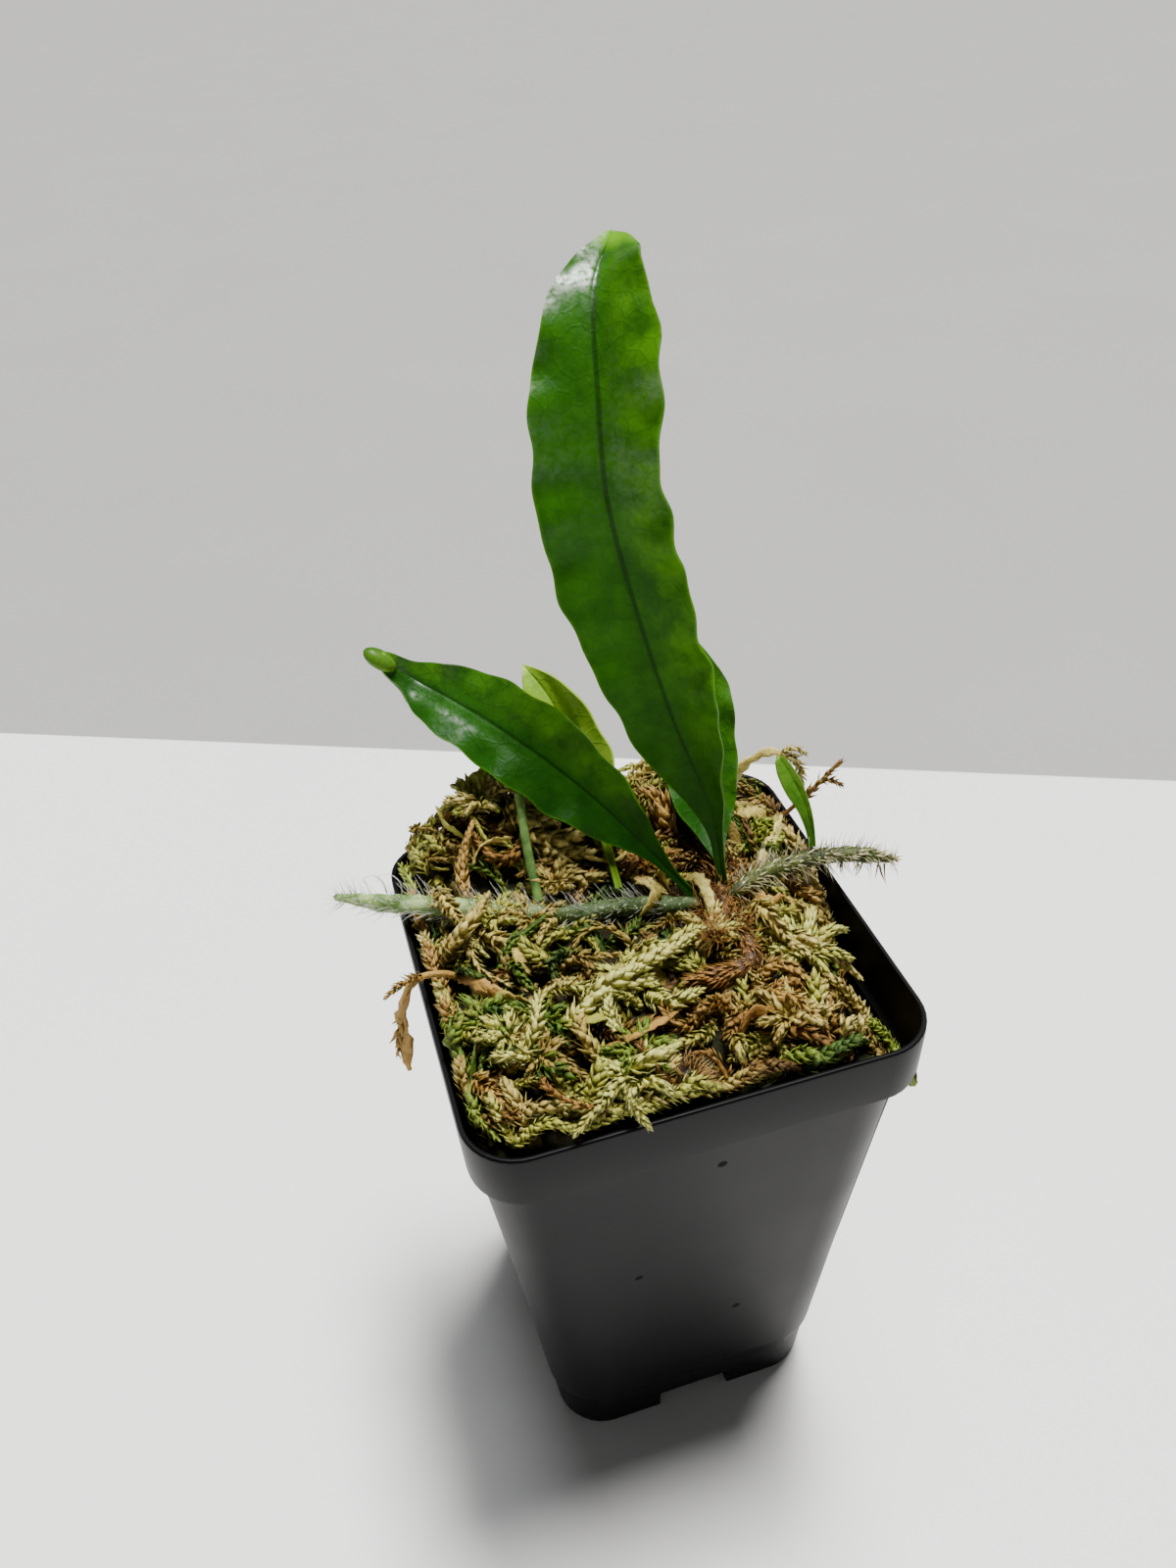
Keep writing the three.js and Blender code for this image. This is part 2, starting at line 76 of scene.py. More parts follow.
class Finish:
    # one material; node() makes every node that it has
    def __init__(self, name, fixed=None):
        self.material = bpy.data.materials.new(name)
        self.material.use_nodes = True
        self.tree = self.material.node_tree
        self.shader = self.tree.nodes["Principled BSDF"]
        for socket, value in (fixed or {}).items():
            self.shader.inputs[socket].default_value = value

    def feed(self, socket, value):
        if isinstance(value, Wire):
            self.tree.links.new(value.socket, socket)
        else:
            socket.default_value = value

    def node(self, kind, settings=None, inputs=None, output=0):
        made = self.tree.nodes.new(kind)
        for key, value in (settings or {}).items():
            if key == "stops":
                ramp = made.color_ramp
                while len(ramp.elements) < len(value):
                    ramp.elements.new(0.5)
                for element, (place, colour) in zip(ramp.elements, value):
                    element.position, element.color = place, (*colour, 1)
            else:
                setattr(made, key, value)
        for key, value in (inputs or {}).items():
            self.feed(made.inputs[key], value)
        return Wire(self, made.outputs[output])

    def spot(self):
        return self.node("ShaderNodeTexCoord", output="Object")

    def attribute(self, name):
        return self.node("ShaderNodeAttribute", {"attribute_name": name}, output="Fac")

    def noise(self, where, size, detail=3.0, rough=0.5):
        # size is that of one blotch, in millimetres
        return self.node("ShaderNodeTexNoise", None, {
            "Vector": where, "Scale": 1 / (size * mm), "Detail": detail, "Roughness": rough})

    def ramp(self, value, stops):
        return self.node("ShaderNodeValToRGB", {"stops": stops}, {"Fac": value})

    def step(self, value, low, high):
        # 0 below low, 1 above high, smooth between
        return self.node("ShaderNodeMapRange", {"interpolation_type": "SMOOTHSTEP"}, {
            "Value": value, "From Min": low, "From Max": high})

    def mix(self, share, first, second, blend="MIX"):
        colours = [(*c, 1) if isinstance(c, tuple) else c for c in (first, second)]
        return self.node("ShaderNodeMix", {"data_type": "RGBA", "blend_type": blend}, {
            0: share, 6: colours[0], 7: colours[1]}, output=2)

    def bump(self, height, depth, strength=1.0):
        return self.node("ShaderNodeBump", None, {
            "Height": height, "Distance": depth * mm, "Strength": strength})

    def give(self, **wires):
        for key, value in wires.items():
            self.feed(self.shader.inputs[key.replace("_", " ")], value)
        return self


# lines and meshes

def unit(rows):
    return rows / np.maximum(np.linalg.norm(rows, axis=-1, keepdims=True), 1e-12)


def hill(value, spread):
    return np.exp(-0.5 * (value / spread) ** 2)


def smoothStep(value, low, high):
    t = np.clip((value - low) / (high - low), 0, 1)
    return t * t * (3 - 2 * t)


def along(values, u):
    # value at u from 0 to 1 of a smooth line through evenly spaced numbers
    values = np.array(values, float)
    place = np.minimum(u, 0.99999) * (len(values) - 1)
    i = np.floor(place).astype(int)
    f = place - i
    a, b = values[np.maximum(i - 1, 0)], values[i]
    c, d = values[i + 1], values[np.minimum(i + 2, len(values) - 1)]
    return b + 0.5 * f * (c - a + f * (2 * a - 5 * b + 4 * c - d + f * (3 * (b - c) + d - a)))


class Path:
    # smooth line through points, walked evenly, with a frame that doesn't twist
    def __init__(self, points, samples=200):
        knots = np.array(points, float)
        full = np.vstack([2 * knots[0] - knots[1], knots, 2 * knots[-1] - knots[-2]])
        steps = max(6, samples // (len(knots) - 1))
        t = np.linspace(0, 1, steps, endpoint=False)[:, None]
        runs = []
        for p0, p1, p2, p3 in zip(full, full[1:], full[2:], full[3:]):
            pairs = ((p0, p1), (p1, p2), (p2, p3))
            d0, d1, d2 = (max(np.sum((b - a) ** 2) ** 0.25, 1e-4) for a, b in pairs)
            t1 = ((p1 - p0) / d0 - (p2 - p0) / (d0 + d1) + (p2 - p1) / d1) * d1
            t2 = ((p2 - p1) / d1 - (p3 - p1) / (d1 + d2) + (p3 - p2) / d2) * d1
            runs.append(p1 + t1 * t + (3 * (p2 - p1) - 2 * t1 - t2) * t ** 2
                        + (2 * (p1 - p2) + t1 + t2) * t ** 3)
        self.spots = np.vstack(runs + [knots[-1:]])
        walked = np.concatenate([[0], np.cumsum(np.linalg.norm(np.diff(self.spots, axis=0), axis=1))])
        self.length = walked[-1]
        self.share = walked / self.length
        self.forward = unit(np.gradient(self.spots, axis=0))
        start = np.cross(self.forward[0], (0, 0, 1))
        if np.linalg.norm(start) < 0.1:
            start = np.array([1.0, 0, 0])
        out = [unit(start)]
        for ahead in self.forward[1:]:
            out.append(unit(out[-1] - ahead * (out[-1] @ ahead)))
        self.out = np.array(out)

    def pick(self, table, u):
        return np.stack([np.interp(u, self.share, table[:, k]) for k in range(3)], axis=-1)

    def at(self, u):
        return self.pick(self.spots, u)

    def frame(self, u):
        forward = unit(self.pick(self.forward, u))
        out = self.pick(self.out, u)
        out = unit(out - forward * np.sum(out * forward, axis=-1, keepdims=True))
        return forward, out, np.cross(forward, out)


def choose(*pieces):
    bpy.ops.object.select_all(action="DESELECT")
    for piece in pieces:
        piece.select_set(True)
    bpy.context.view_layer.objects.active = pieces[0]


def edit(piece):
    choose(piece)
    bpy.ops.object.mode_set(mode="EDIT")


def done():
    bpy.ops.object.mode_set(mode="OBJECT")


def shapedGrid(name, across, length, place):
    # a flat grid whose points go where place(u, v) says
    bpy.ops.mesh.primitive_grid_add(x_subdivisions=across, y_subdivisions=length, size=2)
    piece = bpy.context.object
    piece.name = piece.data.name = name
    flat = np.empty(len(piece.data.vertices) * 3, np.float32)
    piece.data.vertices.foreach_get("co", flat)
    u, v = (flat.reshape(-1, 3)[:, :2].T + 1) / 2
    piece.data.vertices.foreach_set("co", (place(u, v) * mm).astype(np.float32).ravel())
    piece.data.update()
    return piece


def closeUp(piece, gap=0.002):
    # seam merged, open ends filled, faces turned outwards
    edit(piece)
    bpy.ops.mesh.select_all(action="SELECT")
    bpy.ops.mesh.remove_doubles(threshold=gap * mm)
    bpy.ops.mesh.select_all(action="DESELECT")
    bpy.ops.mesh.select_non_manifold()
    bpy.ops.mesh.fill_holes(sides=0)
    bpy.ops.mesh.select_all(action="SELECT")
    bpy.ops.mesh.normals_make_consistent(inside=False)
    done()


def apply(piece, kind, **settings):
    choose(piece)
    modifier = piece.modifiers.new(kind.title(), kind)
    for key, value in settings.items():
        setattr(modifier, key, value)
    bpy.ops.object.modifier_apply(modifier=modifier.name)


def smooth(piece, angle=None):
    choose(piece)
    if angle is None:
        bpy.ops.object.shade_smooth()
    else:
        bpy.ops.object.shade_smooth_by_angle(angle=math.radians(angle))


def joined(name, pieces):
    choose(*pieces)
    bpy.ops.object.join()
    pieces[0].name = pieces[0].data.name = name
    return pieces[0]


def roundStem(name, path, across, length, radius, angle=None):
    # a round bar along a path; its radius is a function of the angle round it and the way along it
    def place(u, v):
        out, side = path.frame(v)[1:]
        turn = 2 * np.pi * u
        size = radius(turn, v)
        return path.at(v) + (size * np.cos(turn))[:, None] * out + (size * np.sin(turn))[:, None] * side
    piece = shapedGrid(name, across, length, place)
    closeUp(piece)
    smooth(piece, angle)
    return piece


def fit(piece, finish, slot, *nodes):
    # finish, body and the CAD nodes that the piece stands for; the slot is not used
    piece.data.materials.clear()
    piece.data.materials.append(finish.material)
    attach(piece, "root")
    if nodes:
        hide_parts(*nodes)
    return piece


class Bag:
    # points and faces of a piece made of many small parts, with how far out and how pale each point is
    def __init__(self):
        self.points, self.faces, self.tint, self.tip, self.count = [], [], [], [], 0

    def add(self, points, faces, tint, tip):
        self.points.append(points)
        self.faces.append(faces + self.count)
        self.tint.append(np.broadcast_to(tint, len(points)))
        self.tip.append(np.broadcast_to(tip, len(points)))
        self.count += len(points)

    def piece(self, name):
        points, faces = np.vstack(self.points) * mm, np.vstack(self.faces)
        mesh = bpy.data.meshes.new(name)
        mesh.vertices.add(len(points))
        mesh.vertices.foreach_set("co", points.astype(np.float32).ravel())
        mesh.loops.add(faces.size)
        mesh.loops.foreach_set("vertex_index", faces.astype(np.int32).ravel())
        mesh.polygons.add(len(faces))
        mesh.polygons.foreach_set("loop_start", np.arange(0, faces.size, 3, dtype=np.int32))
        mesh.polygons.foreach_set("loop_total", np.full(len(faces), 3, dtype=np.int32))
        mesh.update(calc_edges=True)
        for key, rows in (("tint", self.tint), ("tip", self.tip)):
            layer = mesh.attributes.new(key, "FLOAT", "POINT")
            layer.data.foreach_set("value", np.concatenate(rows).astype(np.float32))
        mesh.shade_smooth()
        made = bpy.data.objects.new(name, mesh)
        bpy.context.scene.collection.objects.link(made)
        return made


def masterShape(corners, rings, tip):
    # a small pointed form, modelled once: a cone cut across, its ring pulled to shape, its tip moved
    bpy.ops.mesh.primitive_cone_add(vertices=corners, radius1=0.5, radius2=0, depth=1, location=(0, 0, 0.5))
    piece = bpy.context.object
    bpy.ops.object.transform_apply(location=True, rotation=False, scale=False)
    edit(piece)
    for height, wide, deep, shift in rings:
        bpy.ops.mesh.select_all(action="SELECT")
        bpy.ops.mesh.bisect(plane_co=(0, 0, height), plane_no=(0, 0, 1))
    bpy.ops.mesh.select_all(action="SELECT")
    bpy.ops.mesh.quads_convert_to_tris()
    form = bmesh.from_edit_mesh(piece.data)
    for height, wide, deep, shift in [(0, 0.56, 0.3, 0)] + rings:
        ring = [vert for vert in form.verts if abs(vert.co.z - height) < 1e-4]
        size = max(vert.co.xy.length for vert in ring)
        for vert in ring:
            vert.co.x *= wide * 0.5 / size
            vert.co.y = vert.co.y * deep * 0.5 / size + shift
    for vert in form.verts:
        if vert.co.z > 0.999:
            vert.co.y = tip
    bmesh.update_edit_mesh(piece.data)
    done()
    points = np.array([vert.co for vert in piece.data.vertices])
    faces = np.array([face.vertices[:] for face in piece.data.polygons])
    bpy.data.objects.remove(piece)
    return points, faces


def sow(bag, master, roots, forward, out, wide, deep, long, tint):
    # a copy of the master at each root: forward is its length, out its back
    points, faces = master
    side = np.cross(forward, out)
    size = np.stack([np.broadcast_to(s, len(roots)) for s in (wide, deep, long)], axis=-1)
    local = points[None] * size[:, None]
    spots = (roots[:, None] + local[..., 0:1] * side[:, None] + local[..., 1:2] * out[:, None]
             + local[..., 2:3] * forward[:, None])
    every = (faces[None] + (np.arange(len(roots)) * len(points))[:, None, None]).reshape(-1, 3)
    shade = np.repeat(np.broadcast_to(tint, len(roots)), len(points))
    bag.add(spots.reshape(-1, 3), every, shade, np.tile(points[:, 2], len(roots)))


def tube(bag, path, rings, sides, radius, tint, tip=(0, 1), flat=1.0, twist=0.0, rough=None):
    # a closed bar along a path; flat squashes it and twist turns it
    u = np.linspace(0, 1, rings)
    out, side = path.frame(u)[1:]
    angle = np.arange(sides) * 2 * np.pi / sides
    turn = twist * u[:, None]
    size = radius(u)[:, None] * (1 if rough is None else rough)
    a, b = size * np.cos(angle), size * flat * np.sin(angle)
    x, y = a * np.cos(turn) - b * np.sin(turn), a * np.sin(turn) + b * np.cos(turn)
    spots = path.at(u)[:, None] + x[..., None] * out[:, None] + y[..., None] * side[:, None]
    spots = np.vstack([spots.reshape(-1, 3), path.at(np.array([0, 1.0]))])
    ring, k = np.meshgrid(np.arange(rings - 1), np.arange(sides), indexing="ij")
    a, b = (ring * sides + k).ravel(), (ring * sides + (k + 1) % sides).ravel()
    walls = np.vstack([np.stack([a, b, b + sides], 1), np.stack([a, b + sides, a + sides], 1)])
    k = np.arange(sides)
    last, end = (rings - 1) * sides, rings * sides
    caps = np.vstack([np.stack([k * 0 + end, (k + 1) % sides, k], 1),
                      np.stack([k * 0 + end + 1, last + k, last + (k + 1) % sides], 1)])
    tips = np.concatenate([np.repeat(tip[0] + (tip[1] - tip[0]) * u, sides), tip])
    bag.add(spots, np.vstack([walls, caps]), tint, tips)


def hairs(bag, roots, direction, droop, length, thick, tint):
    # three-sided bent hairs; droop is what is added to the direction towards the tip
    count = len(roots)
    t = np.array([0, 0.35, 0.7, 1.0])
    spots = roots[:, None] + length[:, None, None] * (
        t[None, :, None] * direction[:, None] + (t ** 2)[None, :, None] * droop[:, None])
    ahead = unit(direction[:, None] + 2 * t[None, :, None] * droop[:, None])
    out = unit(np.cross(ahead, (0.31, 0.17, 0.93)))
    side = np.cross(ahead, out)
    angle = np.arange(3) * 2 * np.pi / 3
    size = np.broadcast_to(thick, count)[:, None] * np.array([1, 0.8, 0.5])
    rings = (spots[:, :3, None] + size[..., None, None] * (
        np.cos(angle)[:, None] * out[:, :3, None] + np.sin(angle)[:, None] * side[:, :3, None]))
    points = np.concatenate([rings.reshape(count, 9, 3), spots[:, 3:]], axis=1)
    one = []
    for ring in (0, 3):
        for k in range(3):
            a, b = ring + k, ring + (k + 1) % 3
            one += [(a, b, b + 3), (a, b + 3, a + 3)]
    one += [(6, 7, 9), (7, 8, 9), (8, 6, 9), (0, 2, 1)]
    faces = (np.array(one)[None] + (np.arange(count) * 10)[:, None, None]).reshape(-1, 3)
    tip = np.tile(np.repeat([0, 0.35, 0.7, 1.0], [3, 3, 3, 1]), count)
    bag.add(points.reshape(-1, 3), faces, np.repeat(np.broadcast_to(tint, count), 10), tip)


# pot

pot = {
    "corner steps": 9, "straight steps": 6,
    # half width, corner radius and height of each ring, up the outside and down the inside
    "outside": [(21.4, 7.6, 0), (21.9, 8, 0.12), (22.3, 8, 0.6), (22.75, 8.05, 6), (23.2, 8.1, 11),
                (23.5, 8.2, 11.4), (23.62, 8.2, 12.2), (26.9, 8.95, 46.8), (30.4, 9.7, 81.9),
                (30.6, 9.6, 82.12), (31.2, 7.8, 82.2), (31.44, 7.65, 82.4), (31.5, 7.6, 82.9),
                (31.62, 7.6, 87), (31.72, 7.6, 90.7), (31.7, 7.6, 91.3), (31.5, 7.5, 91.56)],
    "inside": [(31.3, 7.3, 91.6), (31.05, 7.1, 91.5), (30.92, 7, 91.1), (30.75, 7, 87), (30.65, 7, 83.4),
               (30.3, 7.4, 82.9), (29.5, 9.1, 82.6), (26.05, 8.2, 46.8), (22.6, 7.4, 11), (21.8, 7.3, 1.8),
               (21.4, 7, 1.3)],
    "bow": (0.35, 11.4, 70),     # how far the sides stand in at their middle, from what height, how far up
    "notch": (22.3, 12.4, 5, 6),       # the gaps in the foot: where, width, height and depth
    "pits": [(1.3, -29.8, 76.4), (-10.2, -27.3, 50.4), (6, -25.4, 30.7), (-22, -26.5, 42)],   # dark, in front
    "pit": (0.5, 0.85),          # radius of a pit's middle and of its rim
    "plastic": ((0.0014, 0.0015, 0.0018), (0.0027, 0.0029, 0.0034)), "dust": (0.014, 0.014, 0.0135),
}


def squareLoop(u, half, corner):
    # point at u from 0 to 1 round a rounded square
    arcs, runs = pot["corner steps"], pot["straight steps"]
    whole = arcs + runs
    place = (u % 1) * 4 * whole
    side = np.floor(place / whole + 1e-9)
    step = place - side * whole
    angle = (side + np.minimum(step / arcs, 1)) * np.pi / 2
    middle = (side + 0.5) * np.pi / 2
    x = (half - corner) * np.sign(np.cos(middle)) + corner * np.cos(angle)
    y = (half - corner) * np.sign(np.sin(middle)) + corner * np.sin(angle)
    ahead = np.maximum(step - arcs, 0) / runs * 2 * (half - corner)
    heading = (side + 2) * np.pi / 2
    return x + ahead * np.cos(heading), y + ahead * np.sin(heading)


def potPoint(u, v):
    rings = np.array(pot["outside"] + pot["inside"])
    half, corner, z = rings[np.round(v * (len(rings) - 1)).astype(int)].T
    x, y = squareLoop(u, half, corner)
    depth, foot, tall = pot["bow"]
    bow = depth * np.sin(np.pi * np.clip((z - foot) / tall, 0, 1))
    bow = bow * (1 - (np.minimum(abs(x), abs(y)) / half) ** 2)
    flat = np.where(abs(x) > abs(y), 1.0, 0.0)
    return np.stack([x - bow * np.sign(x) * flat, y - bow * np.sign(y) * (1 - flat), z], axis=1)


def makePot():
    around = 4 * (pot["corner steps"] + pot["straight steps"])
    piece = shapedGrid("nursery_pot", around, len(pot["outside"] + pot["inside"]) - 1, potPoint)
    closeUp(piece)
    wall, width, height, depth = (size * mm for size in pot["notch"])
    for side in range(4):
        bpy.ops.mesh.primitive_cube_add(size=1)
        tool = bpy.context.object
        turn = Matrix.Rotation(side * math.pi / 2, 4, "Z")
        size = Matrix.Diagonal((width, depth * 2, height * 2, 1))
        tool.data.transform(turn @ Matrix.Translation((0, wall, 0)) @ size)
        apply(piece, "BOOLEAN", operation="DIFFERENCE", solver="EXACT", object=tool)
        bpy.data.objects.remove(tool)
    smooth(piece, 34)
    return piece


def potFinish():
    plastic = Finish("pot plastic", {"Specular IOR Level": 0.08})
    spot = plastic.spot()
    grain = plastic.noise(spot, 0.35, 2)
    cloud = plastic.noise(spot, 14, 3)
    dust = plastic.noise(spot, 2.2, 5, 0.7)
    shade = plastic.mix(plastic.step(cloud, 0.35, 0.7), *pot["plastic"])
    dusty = plastic.step(dust, 0.62, 0.8) * 0.35
    low, high = (size * mm for size in pot["pit"])
    pits = 0.0
    for x, y, z in pot["pits"]:
        away = plastic.node("ShaderNodeVectorMath", {"operation": "DISTANCE"}, {
            0: spot, 1: (x * mm, y * mm, z * mm)}, output="Value")
        pits = (1 - plastic.step(away, low, high)) + pits
    base = plastic.mix(dusty, shade, pot["dust"])
    plastic.give(Base_Color=plastic.mix(pits, base, (0.0004, 0.0004, 0.0004)),
                 Roughness=0.34 + 0.14 * cloud + 0.1 * dusty + 0.4 * pits,
                 Normal=plastic.bump(grain + 0.4 * dust - 9 * pits, 0.012, 0.5))
    return plastic


fit(makePot(), potFinish(), "pot", "pot")
print("pot made")


# moss ground

ground = {
    "level": 91.2, "cells": 84, "half": 30.1, "corner": 7.0,
    "sunk": 1.3, "clear": 0.4,               # below the moss that hides it, and inside the pot
    # mounds: height, centre and spread each way
    "mounds": [(12.5, -14, 23, 10, 7.5), (7.5, 9, 23, 6.5, 7), (3.4, -4, 1, 20, 12), (1.6, -12, -22, 16, 9)],
    "hollow": (15, 20, 31, -18, 10),         # depth, its start and end to the right, its middle and spread
    "edge": (24, 31, 1.5, 0.55),             # where the edge starts and ends, its fall, and that of a mound
    "skirt": (70, 40, 11, 2.0),              # heights of the rings below the surface, down to the pot's floor
    # brown soil colours, made near black: also painted shade in the gaps between the shoots
    "soil_and_painted_shade": ((0.016, 0.009, 0.003), (0.01, 0.014, 0.003), (0.06, 0.036, 0.01)),
}
hollowPot = [(1.3, 21.3), (11, 22.4), (81.9, 29.2), (83.4, 30.5), (91.6, 30.6)]     # heights, half widths


def mossHeight(x, y):
    z = ground["level"] + 0 * x
    for height, px, py, wide, deep in ground["mounds"]:
        z = z + height * hill(x - px, wide) * hill(y - py, deep)
    depth, start, end, py, deep = ground["hollow"]
    z = z - depth * smoothStep(x, start, end) * hill(y - py, deep)
    start, end, fall, share = ground["edge"]
    edge = smoothStep(np.maximum(abs(x), abs(y)), start, end)
    z = z - edge * (fall + share * np.maximum(0, z - ground["level"]))
    return z + 0.7 * np.sin(0.7 * x + 0.3 * y) * np.sin(0.62 * y - 0.25 * x + 1)


def potInside(z):
    # half width of the room inside the pot
    return np.interp(z, *zip(*hollowPot))


def groundPoint(u, v):
    a, b = 2 * u - 1, 2 * v - 1
    angle = np.arctan2(b, a)
    square = 1 / np.maximum(abs(np.cos(angle)), abs(np.sin(angle)))
    half, corner = ground["half"], ground["corner"]
    inner = half - corner
    c, s = abs(np.cos(angle)), abs(np.sin(angle))
    flat = half / np.maximum(c, s)
    inCorner = (flat * np.minimum(c, s)) > inner
    mid = inner * (c + s)
    rounded = mid + np.sqrt(np.maximum(mid ** 2 - 2 * inner ** 2 + corner ** 2, 0))
    reach = np.where(inCorner, rounded, flat) / square
    x, y = a * reach, b * reach
    z = mossHeight(x, y) - ground["sunk"] + 0.5 * np.sin(1.7 * x + 0.6 * y) * np.sin(1.5 * y - 0.4 * x)
    shrink = (potInside(z) - ground["clear"]) / (half + 0.1)
    edge = np.minimum(1, shrink + (1 - np.maximum(abs(x), abs(y)) / half) * 0.5)
    return np.stack([x * edge, y * edge, z], axis=1)


def makeGround():
    cells, clear = ground["cells"], ground["clear"]
    piece = shapedGrid("moss_ground", cells, cells, groundPoint)
    edit(piece)
    bpy.ops.mesh.select_all(action="DESELECT")
    bpy.ops.mesh.select_non_manifold()
    for level in ground["skirt"]:
        bpy.ops.mesh.extrude_region_move()
        form = bmesh.from_edit_mesh(piece.data)
        room = float(potInside(level)) - clear - 0.1
        for vert in form.verts:
            if vert.select:
                share = min(room / (float(potInside(min(vert.co.z / mm, 91))) - clear), 1)
                vert.co = (vert.co.x * share, vert.co.y * share, level * mm)
        bmesh.update_edit_mesh(piece.data)
    bpy.ops.mesh.edge_face_add()
    bpy.ops.mesh.select_all(action="SELECT")
    bpy.ops.mesh.normals_make_consistent(inside=False)
    done()
    smooth(piece)
    return piece


def groundFinish():
    # dark brown ground, near black as painted shade where it shows between the shoots
    soil_and_painted_shade = Finish("dark moss ground", {"Specular IOR Level": 0.2})
    spot = soil_and_painted_shade.spot()
    lumps = soil_and_painted_shade.noise(spot, 1.6, 5, 0.65)
    patch = soil_and_painted_shade.noise(spot, 9, 2)
    brown, green, crumb = ground["soil_and_painted_shade"]
    base = soil_and_painted_shade.mix(soil_and_painted_shade.step(patch, 0.4, 0.62), brown, green)
    soil_and_painted_shade.give(Base_Color=soil_and_painted_shade.mix(soil_and_painted_shade.step(lumps, 0.52, 0.75), base, crumb),
              Roughness=0.92 - 0.15 * lumps, Normal=soil_and_painted_shade.bump(lumps, 0.9))
    return soil_and_painted_shade


fit(makeGround(), groundFinish(), "sphagnum", "moss_bed")
print("moss ground made")


# sphagnum

leafShape = masterShape(3, [(0.42, 1.0, 0.6, 0.1)], 0.04)

# each kind of shoot: stem radius, leaf width, depth and length, leaves to a millimetre, how far they
# stand off in degrees at the foot and at the tip, and how much the shoot narrows
kinds = {
    "worm": {"stem": 0.85, "leaf": (1.45, 0.22, 2.1), "per": 5.6, "spread": (31, 12), "narrow": 0.5},
    "loose": {"stem": 0.5, "leaf": (1.2, 0.2, 2.3), "per": 4.4, "spread": (50, 22), "narrow": 0.45},
    "finger": {"stem": 1.0, "leaf": (1.4, 0.22, 2.5), "per": 5, "spread": (15, 3), "narrow": 0.8},
    "thin": {"stem": 0.36, "leaf": (0.72, 0.18, 1.6), "per": 3.4, "spread": (36, 14), "narrow": 0.5},
}


def shoot(bag, line, kind, draw, tint, size=1.0):
    own = kinds[kind]
    path = Path(line, 48)
    count = max(6, int(path.length * own["per"] / size))
    u = (np.arange(count) + np.array([draw.random() for _ in range(count)])) / count
    jitter = np.array([draw.uniform(-1, 1) for _ in range(count * 3)]).reshape(3, count)
    forward, out, side = path.frame(u)
    angle = np.arange(count) * 2.4 + 0.5 * jitter[0]
    away = np.cos(angle)[:, None] * out + np.sin(angle)[:, None] * side
    foot, end = own["spread"]
    lean = np.radians(foot + (end - foot) * u + 9 * jitter[1])[:, None]
    ahead = np.cos(lean) * forward + np.sin(lean) * away
    back = np.cos(lean) * away - np.sin(lean) * forward
    taper = size * (1 - own["narrow"] * u ** 2) * (1 + 0.18 * jitter[2])
    roots = path.at(u) + away * (own["stem"] * 0.8 * size * (1 - 0.7 * u ** 1.5))[:, None]
    wide, deep, long = (own["leaf"][k] * taper for k in range(3))
    shade = np.clip(tint + 0.07 * jitter[2], 0, 1)
    sow(bag, leafShape, roots, ahead, back, wide, deep, long, shade)
    tube(bag, path, 8, 5, lambda t: size * own["stem"] * (1 - 0.7 * t ** 1.5), tint, (0.3, 0.9))


def ribbon(bag, line, draw, tint, wide):
    # dry, papery, creased strip of an old shoot; wide is half its width
    path = Path(line, 60)
    rings = 19
    rough = np.array([[draw.uniform(0.45, 1.3) for _ in range(8)] for _ in range(rings)])

    def radius(t):
        return wide * np.sqrt(np.clip(np.sin(np.pi * (0.04 + 0.93 * t)), 0.03, 1))
    tube(bag, path, rings, 8, radius, tint, (0.3, 1.0), flat=0.16, twist=draw.uniform(-3, 3), rough=rough)


def grow(bag, kind, line, draw, tint, size):
    if kind == "ribbon":
        ribbon(bag, line, draw, tint, size)
    elif kind == "stem":
        tube(bag, Path(line, 60), 20, 6, lambda t: 0.5 * size * (1 - 0.3 * t), tint)
    else:
        shoot(bag, line, kind, draw, tint, size)


def clearing(x, y):
    # 1 where a rhizome lies and the moss stays low, 0 away from them
    left = hill(y - 1.9 + 0.34 * x, 2.6) * smoothStep(x, -33, -28) * smoothStep(-x, -15, -11)
    right = hill(y - 0.6, 2.4) * smoothStep(x, 12, 15)
    old = 0.6 * hill(x - 8, 4) * hill(y + 13.4, 1.6)
    return float(max(left, right, old))


def surfaceLine(x, y, heading, reach, curl, lifts):
    # a line over the moss: its lifts are heights above the ground at even steps
    spots = []
    for k, lift in enumerate(lifts):
        u = k / (len(lifts) - 1)
        turn = heading + curl * (u - 0.5)
        px = x + math.cos(turn) * reach * (u - 0.5)
        py = y + math.sin(turn) * reach * (u - 0.5)
        low, free = carpet["limits"]
        limit = low if lift + float(mossHeight(px, py)) < carpet["rim"] else free
        px, py = (max(-limit, min(limit, p)) for p in (px, py))
        sunk = carpet["sunk"] * clearing(px, py)
        spots.append((px, py, float(mossHeight(px, py)) + lift - sunk))
    return spots


# how common each colour of moss is, and where it is commoner: gain, centre and spread each way
patches = {
    "straw": (5, []),
    "pale": (2.2, [(5, -4, -9, 9, 6), (5, -9, -26, 8, 5)]),
    "green": (1, [(9, -25, -11, 6, 5), (3, -6, -27, 5, 4), (6, 24, 12, 3.5, 3.5), (3, -27, 10, 5, 6)]),
    "brown": (1.4, [(4, -27, -22, 4, 5), (3, 14, -16, 6, 6), (3, 14, 8, 6, 6)]),
}
bags = {colour: Bag() for colour in patches}


def colourAt(x, y, draw):
    shares = {colour: common + sum(gain * float(hill(x - px, wide) * hill(y - py, deep))
                                   for gain, px, py, wide, deep in places)
              for colour, (common, places) in patches.items()}
    pick = draw.random() * sum(shares.values())
    for colour, share in shares.items():
        pick -= share
        if pick < 0:
            return colour
    return "straw"


